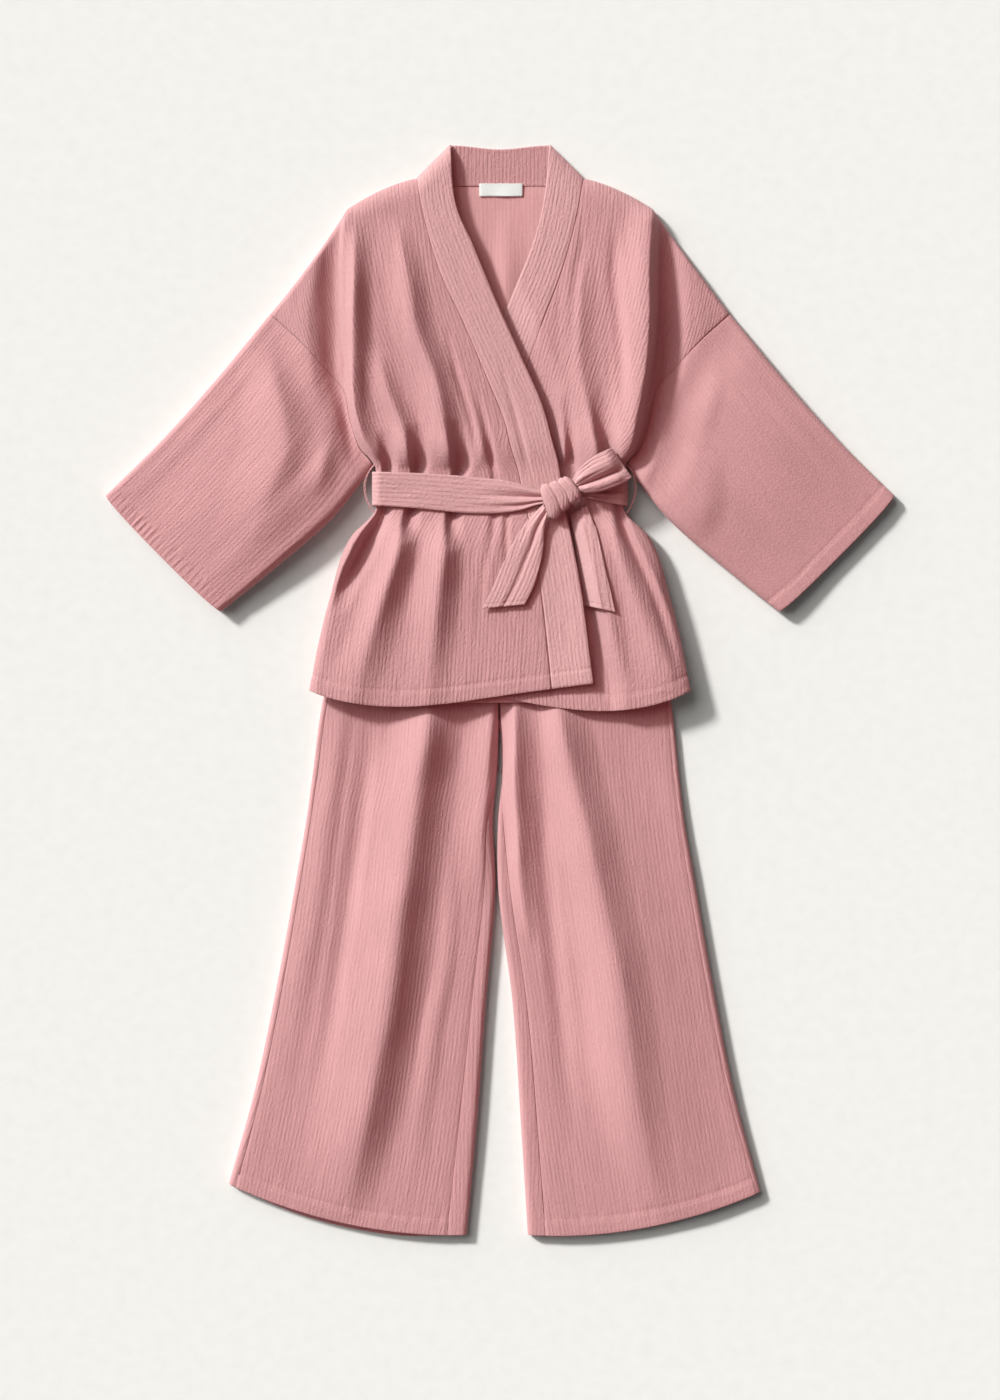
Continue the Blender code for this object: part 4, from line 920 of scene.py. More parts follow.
# %% Grids
class Panel:
    """A sampled surface with its distances in millimetres: left, right, start and end are those from its
    four edges, u and w the place across and along the grain."""

    def __init__(self, surface, columns, rows, outward=1, closed=False):
        self.closed = closed
        self.columns, self.rows = np.asarray(columns, float), np.asarray(rows, float)
        self.points = np.array([surface(self.columns, v) for v in self.rows])
        self.measure()
        self.outward = outward

    def measure(self):
        p = self.points
        across = np.linalg.norm(np.diff(p, axis=1), axis=2)
        down = np.linalg.norm(np.diff(p, axis=0), axis=2)
        self.left = np.concatenate([np.zeros((len(p), 1)), np.cumsum(across, 1)], 1)
        self.start = np.concatenate([np.zeros((1, p.shape[1])), np.cumsum(down, 0)], 0)
        self.right = self.left[:, -1:] - self.left
        self.end = self.start[-1:] - self.start
        middle = self.left.mean(axis=1, keepdims=True)
        self.u, self.w = self.left - middle, self.start.mean(axis=1, keepdims=True) + 0 * self.left
        area = 0.25 * (across[1:] + across[:-1]) * (down[:, 1:] + down[:, :-1])
        self.area = float(area.sum())
        self.width, self.length = float(self.left[:, -1].max()), float(self.start[-1].max())

    def normals(self):
        p = self.points
        if self.closed:
            across = np.roll(p, -1, 1) - np.roll(p, 1, 1)
        else:
            across = np.gradient(p, axis=1)
        n = np.cross(across, np.gradient(p, axis=0)) * self.outward
        return n / np.maximum(np.linalg.norm(n, axis=2, keepdims=True), 1e-9)

    def raise_by(self, height):
        self.points = self.points + self.normals() * height[:, :, None]


print("distances kept for each point of a panel: left, right, start, end")


# %% [markdown]
# The grid and a copy of it, one cloth's thickness below, become a shell. A Solidify modifier could do that,
# but here the free edges are also rounded over, as a folded hem is.


# %% Shells
def even(count, edge=0.004):
    """Even places from 0 to 1, with two close together at each end for a rounded edge."""
    return np.concatenate([[0, edge / 2], np.linspace(edge, 1 - edge, count), [1 - edge / 2, 1]])


def shell(name, panel, thickness, paint, free=("left", "right", "start", "end")):
    """The panel as a shell. Its free edges are rounded over."""
    n = panel.normals()
    nearest = np.full(panel.points.shape[:2], 1e9)
    for edge in free:
        if not (panel.closed and edge in ("left", "right")):
            nearest = np.minimum(nearest, getattr(panel, edge))
    curl = (thickness / 2) * (1 - np.maximum(rounded(nearest / (thickness * 0.75)), 0.2))[:, :, None]
    outer = (panel.points - n * curl) * MM
    inner = (panel.points - n * (thickness - curl)) * MM
    high, wide = outer.shape[:2]
    index = np.arange(high * wide).reshape(high, wide)
    a, b = index[:-1], index[1:]
    if panel.closed:
        across = (np.concatenate([a, a[:, :1]], 1), np.concatenate([b, b[:, :1]], 1))
    else:
        across = (a, b)
    quads = np.stack([across[0][:, :-1], across[0][:, 1:], across[1][:, 1:], across[1][:, :-1]], -1)
    quads = quads.reshape(-1, 4)
    if panel.outward < 0:
        quads = quads[:, ::-1]
    total = high * wide
    faces = [quads, quads[:, ::-1] + total]
    borders = []
    if panel.closed:
        loop = np.append(index[0], index[0, 0]), np.append(index[-1], index[-1, 0])[::-1]
        borders = list(loop)
    else:
        borders = [np.concatenate([index[0], index[1:, -1], index[-1, -2::-1], index[-2::-1, 0]])]
    for border in borders:
        strip = np.stack([border[:-1], border[:-1] + total, border[1:] + total, border[1:]], 1)
        faces.append(strip if panel.outward > 0 else strip[:, ::-1])
    faces = np.concatenate(faces)
    mesh = bpy.data.meshes.new(name)
    verts = np.concatenate([outer.reshape(-1, 3), inner.reshape(-1, 3)])
    mesh.vertices.add(len(verts))
    mesh.vertices.foreach_set("co", verts.astype(np.float32).ravel())
    mesh.loops.add(faces.size)
    mesh.loops.foreach_set("vertex_index", faces.astype(np.int32).ravel())
    mesh.polygons.add(len(faces))
    mesh.polygons.foreach_set("loop_start", np.arange(0, faces.size, 4, dtype=np.int32))
    mesh.update(calc_edges=True)
    mesh.validate()
    grain = np.stack([panel.u.ravel(), panel.w.ravel()], 1) * MM
    grain = np.concatenate([grain, grain + 0.37])
    layer = mesh.uv_layers.new(name="grain")
    loops = np.empty(len(mesh.loops), np.int32)
    mesh.loops.foreach_get("vertex_index", loops)
    layer.data.foreach_set("uv", grain[loops].astype(np.float32).ravel())
    mesh.shade_smooth()
    mesh.materials.append(paint)
    made = bpy.data.objects.new(name, mesh)
    bpy.context.scene.collection.objects.link(made)
    return made


print("a shell's edges are rounded over half its thickness")

# %% [markdown]
# Each finished piece rides on the set's one body and stands for its piece of the solid model, which is
# hidden. A panel also knows its width, its length and its area, measured along the cloth.


# %% Sewing a piece in
def sewn(piece, node_name):
    """Ties a piece to the body, and hides the solid model's node that it stands for."""
    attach(piece, "root")
    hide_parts(node_name)


def cloth(name, node_name, panel, thickness, paint, free=("left", "right", "start", "end")):
    piece = shell(name, panel, thickness, paint, free)
    sewn(piece, node_name)
    return piece


print("each panel is laid, gathered or folded")

# %% [markdown]
# A hem is turned up twice, so it is a little thicker, and its stitches pull the cloth into small puckers. A
# seam is a fine valley. Both depend only on the distance from an edge.


# %% Hems, stitched lines and seams
def hem(distance, u, depth=HEM):
    """A hem is double: it stands a little higher up to its stitched line, which pulls the cloth in."""
    step = 0.6 * ease((depth - distance) / 3)
    line = -0.8 * dip(distance - depth, 1.5)
    pucker = 0.45 * noise(u / 6, distance * 0 + 3.3) * dip(distance - depth, 8.0)
    return step + line + pucker


def seam(distance):
    """The two panels dip into the seam between them."""
    return -0.55 * dip(distance, 1.6) - 0.45 * dip(distance, 6.0)


print("stitched lines lie", HEM, "mm from the edges")

# %% [markdown]
# ## The trousers
#
# The trousers are laid down first, as one does. Their fronts get the fine grid, since the backs face down and
# show only where they roll over a rim.

# %% Trousers
rows = even(205, 0.0014)
PANELS = {}
for side, outward in (("right", -1), ("left", 1)):
    panel = Panel(leg_front(side), even(130, 0.005), rows, outward)
    quiet = ease(panel.left / 9) * ease(panel.right / 9)
    panel.raise_by(crinkle(panel.u + 500, panel.w, 0.5) * (0.35 + 0.65 * quiet))
    panel.raise_by(hem(panel.end, panel.u) + seam(panel.left) + seam(panel.right))
    PANELS[f"leg_front_{side}"] = panel
    back_name = f"trousers_back_{side}"
    cloth(f"leg_front_{side}", f"trousers_front_{side}", panel, CLOTH, CALM_GAUZE,
          ("end",))
    panel = Panel(leg_back(side), even(60, 0.006), even(76, 0.002), -outward)
    fine_rim = ease((0.2 - panel.columns) / 0.03) + ease((panel.columns - 0.8) / 0.03)
    panel.raise_by(crinkle(panel.u + 900, panel.w, 0.35) * fine_rim[None, :])
    panel.raise_by((seam(panel.left) + seam(panel.right)) * 0.6)
    PANELS[f"leg_back_{side}"] = panel
    cloth(f"leg_back_{side}", back_name, panel, CLOTH, CALM_GAUZE, ("end",))

# %% [markdown]
# The waistband is out of sight under the top, where an elastic gathers the trousers. It is a plain flat tube
# with soft ribs, closed all round, which is all that a hidden piece needs.


# %% Waistband
def flat_tube(x_half, top_edge, bottom_edge, height, lift=0.0):
    """A band laid flat all round. The upper side's edges follow top_edge and bottom_edge."""

    def surface(f, v):
        f = np.mod(f, 1)
        radius, width = height / 2, 2 * x_half
        length = under_length(width, radius, radius)
        turn = radius * math.pi / 2
        stops = [0, 0.14, 0.36, 0.5, 0.64, 0.86, 1]
        places = [0, turn, length - turn, length, length + turn, 2 * length - turn, 2 * length - 1e-6]
        across, z = ring(np.interp(f, stops, places), width, radius)
        x = across - x_half
        upper = ease((z - radius) / radius)
        y_top = top_edge(-x_half) + (top_edge(x) - top_edge(-x_half)) * upper
        y_bottom = bottom_edge(-x_half) + (bottom_edge(x) - bottom_edge(-x_half)) * upper
        return np.stack([x, y_top + (y_bottom - y_top) * v, z + lift], 1)

    return surface


waist = Panel(flat_tube(165.0, lambda x: 201.0 + 0 * x, lambda x: 166.0 + 0 * x, 6.4),
              np.linspace(0, 1, 240, endpoint=False), even(14, 0.03), 1, True)
ribs = 0.25 * np.cos(waist.start / 35 * 2 * math.pi * 4) - 0.25
waist.raise_by(ribs + crinkle(waist.left, waist.w, 0.1))
cloth("waistband", "trousers_waistband", waist, 2.0, GAUZE)

# %% [markdown]
# ## The top
#
# First the back, then the sleeves, then the front that lies below and the one that laps over it. That is the
# order in which they lie, so each sheet rests on pieces that are already there.

# %% Back of the top
panel = Panel(back, even(96, 0.003), even(110, 0.002), 1)
quiet = ease(panel.left / 10) * ease(panel.right / 10) * ease(panel.start / 10)
panel.points[:, :, 2] += CLOTH * 0.3 * quiet * (1 + noise(panel.u / 5, panel.w / 60)) * 0.5
panel.points[:, :, 2] += 0.8 * quiet * (1 + noise(panel.u / 26 + 5, panel.w / 160)) * 0.5
middle_fold = dip(panel.points[:, :, 0] - 8, 14) * ease((640 - panel.points[:, :, 1]) / 120)
panel.points[:, :, 2] += 4.5 * middle_fold * ease((panel.points[:, :, 1] - 380) / 60)
panel.raise_by(seam(panel.left) * 0.3 + seam(panel.right) * 0.3)
cloth("back_panel", "top_back", panel, CLOTH, INSIDE_PAINTED_LIGHTER, ("end",))

# %% [markdown]
# The sleeves get their crinkles on the upper side only. The wearer's right cuff is ruched: its hem's stitches
# draw the cloth into short ridges.

# %% Sewing the sleeves
SLEEVE_GIRTH = 232  # half the sleeve's girth
rim = [0.004, 0.009, 0.015]
around = np.linspace(0.022, 0.978, 56)
over = np.linspace(0.978, 0.022, 104)
columns = np.concatenate([[0], rim, around, [1 - r for r in rim[::-1]], [1], [1 + r for r in rim], 2 - over,
                          [2 - r for r in rim[::-1]]])
for side, outward in (("right", 1), ("left", -1)):
    panel = Panel(sleeve(side), columns, even(96, 0.004), outward, True)
    upper = (panel.columns > 1.0)[None, :] * np.ones_like(panel.left)
    across = np.where(panel.columns <= 1, panel.columns, 2 - panel.columns)[None, :] * SLEEVE_GIRTH
    quiet = ease(panel.start / 7)
    rim_only = ease(across / 8) * ease((SLEEVE_GIRTH - across) / 8)
    panel.u = across + 0 * panel.left
    creases = crinkle(across + 150, panel.start, 0.5) * quiet * upper * rim_only
    ruches = np.cos(across * 0.68 + 3 * noise(across / 34, panel.end / 60))
    ruches = ruches * (0.7 + 0.5 * noise(across / 21, 0 * across))
    ruches = ruches * ease((HEM - panel.end) / 4) * ease(panel.end / 3)
    deep = 1.0 * (0.45 + 0.55 * ease((170 - across) / 70)) if side == "right" else 0.15
    creases = creases * (1 - 0.6 * ease((HEM - panel.end) / 4)) + deep * ruches * upper * rim_only
    panel.raise_by(creases + hem(panel.end, across) * upper * 0.9 + 0.5 * seam(panel.start) * upper)
    PANELS[f"sleeve_{side}"] = panel
    cloth(f"sleeve_panel_{side}", f"sleeve_{side}", panel, CLOTH, CALM_GAUZE, ("end",))

# %% [markdown]
# The fronts are gathered by the belt. Their side edges meet the back, and their long edges are sewn to the
# collar band. They get a fine grid, because most of the folds are on them.

# %% Sewing the fronts
fold_columns = np.concatenate([np.linspace(0, FOLD_STOP, 46)[:-1], np.linspace(FOLD_STOP, 1, 108)])
for side, mirrored in (("left", True), ("right", False)):
    outward = 1 if mirrored else -1
    panel = Panel(front(mirrored), fold_columns, even(200, 0.0012), outward)
    quiet = ease(panel.left / 8) * ease(panel.start / 9)
    panel.raise_by(crinkle(panel.points[:, :, 0] + (700 if mirrored else 0), panel.w, 0.85) * quiet)
    below = ease((panel.rows - UNDERARM) / 0.02)[:, None]
    panel.raise_by(seam(panel.left) * (1 - below) + hem(panel.end, panel.u) + 0.5 * seam(panel.right))
    PANELS[f"front_{side}"] = panel
    cloth(f"front_{side}", f"top_front_{side}", panel, CLOTH, GAUZE, ("end",))

# %% [markdown]
# ## The collar band
#
# The band is folded double, so its free edge is round and it is stiffer than the fronts. It runs behind the
# neck and down both fronts. A slight swell across it, lower at both edges, shows that it is double.

# %% Sewing the collar band
for side, mirrored in (("left", True), ("right", False)):
    outward = 1 if mirrored else -1
    panel = Panel(band(mirrored), even(30, 0.02), even(230, 0.001), outward)
    quiet = ease(panel.start / 8)
    swell = 0.6 * rounded(panel.left / 14) * rounded(panel.right / 7)
    panel.raise_by(swell + crinkle(panel.left + 60, panel.w, 0.6) * quiet + seam(panel.left) * 0.4)
    panel.raise_by(hem(panel.end, panel.u) * 0.6)
    PANELS[f"band_{side}"] = panel
    cloth(f"collar_band_{side}_strip", f"collar_band_{side}", panel, BAND, GAUZE_PAINTED_LIGHTER)
panel = Panel(neck_stand, even(110, 0.006), even(30, 0.02), -1)
swell = 0.6 * rounded(panel.start / 7)
panel.raise_by(swell + crinkle(panel.left + 30, panel.w, 0.7) + 0.5 * seam(panel.end))
cloth("collar_neck_strip", "collar_neck", panel, 2.2, GAUZE)

# %% [markdown]
# ## The belt
#
# The belt goes round the waist over the gathers, and narrows where it enters the knot, so folds run into the
# knot from both sides. The edges of its front stretch come from a table, and its folds run along it.

# %% Belt round the waist
BeltEdge = namedtuple("BeltEdge", "x top bottom")
BELT_EDGES = [
    BeltEdge(-166, 283, 238), BeltEdge(-104, 281, 234), BeltEdge(-57, 278, 229), BeltEdge(-26, 275, 227.5),
    BeltEdge(4, 272, 228), BeltEdge(30, 266, 232), BeltEdge(48, 260, 238), BeltEdge(78, 258, 242),
    BeltEdge(107, 262, 248), BeltEdge(130, 269, 243), BeltEdge(150, 273, 239), BeltEdge(166, 274, 237),
]
xs = [edge.x for edge in BELT_EDGES]
belt = Panel(
    flat_tube(166.0, lambda x: smooth(xs, [e.top for e in BELT_EDGES], x),
              lambda x: smooth(xs, [e.bottom for e in BELT_EDGES], x), 25.2),
    np.concatenate([np.linspace(0, 0.5, 60, endpoint=False), np.linspace(0.5, 1, 230, endpoint=False)]),
    even(34, 0.02), 1, True)
x, share = belt.points[:, :, 0], belt.rows[:, None]
upper = ease((belt.points[:, :, 2] - 14) / 8)
into_knot = ease((x + 45) / 85) * ease((108 - x) / 40) + ease((x - 60) / 60) * ease((175 - x) / 40)
BeltFold = namedtuple("BeltFold", "share height wide")
BELT_FOLDS = [
    BeltFold(0.22, 1.6, 0.12), BeltFold(0.47, -2.6, 0.07), BeltFold(0.66, 2.2, 0.10),
    BeltFold(0.80, -2.0, 0.05), BeltFold(0.90, 1.0, 0.08),
]
for fold in BELT_FOLDS:
    belt.raise_by(upper * into_knot * fold.height * dip(share - fold.share, fold.wide))
waver = 0.9 * noise(x / 34 + 3, share * 1.5) - 0.6
belt.raise_by(upper * (waver + 0.8 * rounded(share / 0.15) * rounded((1 - share) / 0.15)))
belt.raise_by(crinkle(belt.start + 33, belt.left, 0.5))
belt.u, belt.w = belt.w, belt.left
PANELS["belt"] = belt
cloth("belt_round_waist", "belt_band", belt, 2.6, GAUZE_PAINTED_LIGHTER)

# %% [markdown]
# The knot is one turn of the belt pulled tight over itself: a soft barrel with wraps that lie side by side.
# Only its outside shows, so it is one closed form with valleys between the wraps, closed at both ends with
# bmesh.

# %% Knot
KNOT_CORNERS = {"top_left": (49, 262), "top_right": (88, 277), "low_right": (108, 250), "low_left": (66, 216)}
KNOT_LOW, KNOT_HIGH = 25.7, 43.0


def knot(f, v):
    """f goes round the barrel, v along it from the belt's side to the bow's side."""
    turn = 2 * math.pi * f
    across = np.sign(np.cos(turn)) * np.abs(np.cos(turn)) ** 0.75
    up = np.sign(np.sin(turn)) * np.abs(np.sin(turn)) ** 0.85
    ends = rounded(v / 0.16) * rounded((1 - v) / 0.16)
    valleys = dip(v - 0.34, 0.04) + dip(v - 0.62, 0.035) + 0.6 * dip(v - 0.82, 0.03)
    wraps = 1 - 0.12 * valleys + 0.03 * np.sin(v * 9)
    size = (0.45 + 0.55 * ends) * wraps
    high = np.array(KNOT_CORNERS["top_left"]) * (1 - v) + np.array(KNOT_CORNERS["top_right"]) * v
    low = np.array(KNOT_CORNERS["low_left"]) * (1 - v) + np.array(KNOT_CORNERS["low_right"]) * v
    middle, half = (high + low) / 2, (high - low) / 2
    lean = (1 - np.abs(across)) * 2.5 * math.sin(math.pi * v)
    z = (KNOT_LOW + KNOT_HIGH) / 2 + up * (KNOT_HIGH - KNOT_LOW) / 2 * (0.5 + 0.5 * ends) * wraps
    xy = middle[:, None] + half[:, None] * across * size + np.array([[1.0], [0.4]]) * lean
    return np.stack([xy[0], xy[1], z], 1)


panel = Panel(knot, np.linspace(0, 1, 120, endpoint=False), np.linspace(0.0, 1, 70), 1, True)
panel.u, panel.w = panel.start, panel.left
quiet = ease(panel.start / 4) * ease(panel.end / 4)
panel.raise_by(crinkle(panel.start + 11, panel.left, 0.45) * quiet)
bm = bmesh.new()
grid = [[bm.verts.new(p * MM) for p in row] for row in panel.points]
count = len(grid[0])
for a, b in zip(grid, grid[1:]):
    for j in range(count):
        bm.faces.new((a[j], a[(j + 1) % count], b[(j + 1) % count], b[j]))
bm.faces.new(grid[0])
bm.faces.new(grid[-1])
bmesh.ops.recalc_face_normals(bm, faces=bm.faces)
layer = bm.loops.layers.uv.new("grain")
places = {vert: (panel.u.ravel()[i] * MM, panel.w.ravel()[i] * MM) for i, vert in enumerate(bm.verts)}
for face in bm.faces:
    for loop in face.loops:
        loop[layer].uv = places[loop.vert]
mesh = bpy.data.meshes.new("knot_wraps")
bm.to_mesh(mesh)
bm.free()
mesh.shade_smooth()
mesh.materials.append(GAUZE_PAINTED_LIGHTER)
knot_piece = bpy.data.objects.new("knot_wraps", mesh)
bpy.context.scene.collection.objects.link(knot_piece)
sewn(knot_piece, "belt_knot")
print("knot faces:", len(mesh.polygons))

# %% [markdown]
# The bow is one loop that leans up to the right, pinched where it leaves the knot. It is a single strip of
# belt that goes out and comes back over itself, so v runs out along the lower side, round the bend, and back
# along the upper one. A deep hollow runs down its middle.

# %% Bow loop
BowRow = namedtuple("BowRow", "along low high z")
BOW = [
    BowRow(0.00, (103, 256), (93, 270), 31.5),
    BowRow(0.12, (112, 254), (101, 283), 30.5),
    BowRow(0.28, (131, 256), (118, 299), 30.0),
    BowRow(0.42, (158, 266), (136, 309), 30.5),
    BowRow(0.50, (169, 273), (143, 311), 35.5),
    BowRow(0.58, (159, 267), (137, 309), 41.5),
    BowRow(0.72, (132, 257), (119, 299), 44.5),
    BowRow(0.88, (113, 255), (102, 284), 43.5),
    BowRow(1.00, (104, 257), (94, 271), 39.5),
]


def bow(f, v):
    """The bow's loop: out below, round its bend, and back above."""
    low, high = point(BOW, "low", v), point(BOW, "high", v)
    xy = low[:, None] + (high - low)[:, None] * f
    z = read(BOW, "z", v)
    upper = ease((v - 0.5) / 0.12)
    swell = 2.2 * np.sin(math.pi * f) * (2 * upper - 1)
    hollow = -7.5 * dip(f - 0.36, 0.09) + 2.0 * dip(f - 0.16, 0.09) + 2.4 * dip(f - 0.66, 0.2)
    hollow = upper * ease((1.02 - v) / 0.1) * hollow
    creases = -2.4 * dip(f - 0.54, 0.045) - 2.0 * dip(f - 0.78, 0.04) - 1.2 * dip(f - 0.9, 0.03)
    creases = upper * creases * ease((v - 0.6) / 0.3)
    return np.stack([xy[0], xy[1], z + swell + hollow + creases], 1)


panel = Panel(bow, even(44, 0.02), np.linspace(0, 1, 130), -1)
panel.raise_by(crinkle(panel.left + 21, panel.start, 0.45))
PANELS["bow"] = panel
cloth("bow_loop", "belt_bow_loop", panel, TAIL, GAUZE_PAINTED_LIGHTER,
      ("left", "right"))

# %% [markdown]
# The belt's two ends hang from the knot, cut on the slant. The long one lies on the front that laps over, and
# the short one passes below that front's edge and lies on the other. Each follows the cloth that it lies on.

# %% Belt ends
TailRow = namedtuple("TailRow", "down left right lift")
LONG_TAIL = [
    TailRow(0.00, (56, 240), (62, 224), 9.0), TailRow(0.14, (36, 219), (58, 207), 5.0),
    TailRow(0.34, (18, 192), (56, 182), 3.2), TailRow(0.56, (5, 165), (51, 158), 2.6),
    TailRow(0.80, (-10, 131), (43, 132), 2.4), TailRow(1.00, (-23, 105), (32, 110), 2.4),
]
SHORT_TAIL = [
    TailRow(0.00, (90, 228), (113, 238), 2.2), TailRow(0.30, (96, 196), (125, 204), 1.8),
    TailRow(0.65, (100, 150), (137, 152), 1.8), TailRow(1.00, (104, 110), (149, 100), 1.8),
]


def tail(rows, below):
    """One end of the belt. The one below lies on the front that lies below."""
    def surface(f, v):
        left, right = point(rows, "left", v), point(rows, "right", v)
        x, y = left[:, None] + (right - left)[:, None] * f
        if below:
            z = np.max([under_height(x + step, y) for step in (-8, 0, 8)], axis=0)
        else:
            z = np.mean([top_height(x + step, y) for step in range(-24, 25, 8)], axis=0) + 2.0
        return np.stack([x, y, z + read(rows, "lift", v) + TAIL], 1)

    return surface


for name, rows, below in (("long", LONG_TAIL, False), ("short", SHORT_TAIL, True)):
    panel = Panel(tail(rows, below), even(40, 0.02), even(110, 0.006), -1)
    f, v = panel.columns[None, :], panel.rows[:, None]
    pinch = 1 - ease(v / 0.6)
    if below:
        shape = 0.5 * dip(f - 0.75, 0.12) * pinch - 0.7 * dip(f - 0.55, 0.05) * pinch
    else:
        crease = 0.62 - 0.12 * v
        shape = 2.6 * dip(f - 0.35, 0.2) * (0.35 + 0.65 * pinch) + 2.2 * dip(f - 0.85, 0.13) * (0.3 + pinch)
        shape = shape - 1.6 * dip(f - crease, 0.06) - 0.8 * dip(f - 0.22, 0.04) * pinch
    panel.raise_by(shape + crinkle(panel.left + 71, panel.start, 0.45) - 0.5 * dip(panel.end - 6, 1.0))
    PANELS[f"tail_{name}"] = panel
    cloth(f"belt_end_{name}", f"belt_tail_{name}", panel, TAIL, GAUZE_PAINTED_LIGHTER)

# %% [markdown]
# ## Thread
#
# Two loops of twisted thread at the side seams keep the belt up. Each is two strands wound round each other
# along a bowed path, 70 mm from end to end. Round threads are made by one helper that carries a ring of
# points along a line.


# %% Thread loops
def tube(name, lines, radius, sides=8):
    """Round threads along these lines of points, in one mesh, with closed ends."""
    bm = bmesh.new()
    for line in lines:
        line = np.asarray(line, float)
        along = np.gradient(line, axis=0)
        along /= np.maximum(np.linalg.norm(along, axis=1, keepdims=True), 1e-9)
        side = np.cross(along, (0.1, 0.05, 1.0))
        side /= np.maximum(np.linalg.norm(side, axis=1, keepdims=True), 1e-9)
        up = np.cross(side, along)
        rings = []
        angles = [2 * math.pi * k / sides for k in range(sides)]
        for p, a, b in zip(line, side, up):
            spokes = [radius * (a * math.cos(t) + b * math.sin(t)) for t in angles]
            rings.append([bm.verts.new((p + spoke) * MM) for spoke in spokes])
        for one, two in zip(rings, rings[1:]):
            for j in range(sides):
                k = (j + 1) % sides
                bm.faces.new((one[j], one[k], two[k], two[j]))
        bm.faces.new(rings[0])
        bm.faces.new(rings[-1])
    bmesh.ops.recalc_face_normals(bm, faces=bm.faces)
    mesh = bpy.data.meshes.new(name)
    bm.to_mesh(mesh)
    bm.free()
    mesh.shade_smooth()
    mesh.materials.append(THREAD_PINK)
    made = bpy.data.objects.new(name, mesh)
    bpy.context.scene.collection.objects.link(made)
    return made


LOOP_PATHS = {
    "right": [(-163, 292, 13), (-171, 281, 16), (-176, 266, 17), (-174, 248, 16.5), (-168, 236, 15),
              (-163, 230, 14)],
    "left": [(163, 292, 13), (172, 283, 16), (176, 268, 17), (175, 250, 16.5), (170, 238, 15),
             (164, 229, 14)],
}
for side, path in LOOP_PATHS.items():
    middle = curve(path, np.linspace(0, 1, 70)).T
    turns = np.linspace(0, 2 * math.pi * 14, 70)
    strands = []
    for start in (0, math.pi):
        offset = np.stack([np.cos(turns + start), 0 * turns, np.sin(turns + start)], 1) * 0.55
        spread = np.array([2.6 if start else 0, 0, 0]) * np.sin(np.linspace(0, math.pi, 70))[:, None]
        sign = -1 if side == "right" else 1
        strands.append(middle + offset - spread * sign * 0.6)
    loop = tube(f"thread_loop_{side}", strands, 0.48)
    sewn(loop, f"belt_loop_{side}")
print("thread loops:", len(LOOP_PATHS))


# %% [markdown]
# Short stitches run along the hems and beside the collar band. Each one is a small rod that dips into the
# cloth at both ends. Its line is found on the panel itself, where the distance from an edge has one value,
# so it follows every crinkle.


# %% Stitches
def on_panel(panel, i, j):
    """The panel's point at a fractional row and column."""
    high, wide = panel.points.shape[:2]
    i, j = np.clip(i, 0, high - 1.001), np.clip(j, 0, wide - 1.001)
    a, b = np.floor(i).astype(int), np.floor(j).astype(int)
    s, t = (i - a)[:, None], (j - b)[:, None]
    p = panel.points
    return (p[a, b] * (1 - s) * (1 - t) + p[a + 1, b] * s * (1 - t) + p[a, b + 1] * (1 - s) * t
            + p[a + 1, b + 1] * s * t)


def stitch_line(panel, distances, at, spacing=3.8, across=True):
    """Stitches on the line where a distance from an edge has this value."""
    line = []
    if across:
        for j in range(distances.shape[1]):
            column = distances[:, j]
            line.append((np.interp(-at, -column, np.arange(len(column))), j))
    else:
        for i in range(distances.shape[0]):
            row = distances[i]
            keys = row if row[-1] > row[0] else -row
            line.append((i, np.interp(at if row[-1] > row[0] else -at, keys, np.arange(len(row)))))
    line = np.array(line)
    points = on_panel(panel, line[:, 0], line[:, 1])
    steps = np.linalg.norm(np.diff(points, axis=0), axis=1)
    length = np.concatenate([[0], np.cumsum(steps)])
    stitches = []
    for begin in np.arange(2, length[-1] - 4, spacing):
        places = begin + np.array([0, 0.25, 0.5, 0.75, 1]) * spacing * 0.68
        index = [np.interp(places, length, line[:, k]) for k in (0, 1)]
        rod = on_panel(panel, *index)
        rod[:, 2] += np.array([-0.3, 0.12, 0.2, 0.12, -0.3])
        stitches.append(rod)
    return stitches


def wide_part(panel, low, high):
    """A panel's columns between two places, as a smaller panel."""
    keep = (panel.columns >= low) & (panel.columns <= high)
    part = object.__new__(Panel)
    part.points, part.end, part.left = panel.points[:, keep], panel.end[:, keep], panel.left[:, keep]
    part.right, part.start, part.columns = panel.right[:, keep], panel.start[:, keep], panel.columns[keep]
    return part


print("a stitch covers two thirds of its spacing")

# %% [markdown]
# The legs' fronts, the top's fronts and the sleeves have one line of stitches along their hems. The collar
# band has one beside its seam.

# %% Sewing the stitches
for name, panel in list(PANELS.items()):
    lines = []
    if name.startswith(("leg_front", "front")):
        lines = stitch_line(panel, panel.end, HEM)
    if name.startswith("sleeve"):
        part = wide_part(panel, 1.03, 1.97)
        lines = stitch_line(part, part.end, HEM)
    if name.startswith("band"):
        lines = stitch_line(panel, panel.left, 3.0, across=False)
    if lines:
        stitches = tube(f"stitches_{name}", lines, 0.28, 5)
        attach(stitches, "root")
        print(f"stitches_{name}: {len(lines)} stitches")

# %% [markdown]
# ## The label
#
# A folded tape, sewn over the neck seam, with nothing woven into it. A subdivided cube with a small bevel is
# enough, and a slight wave, strongest along its lower edge, shows that only its stitches hold it.

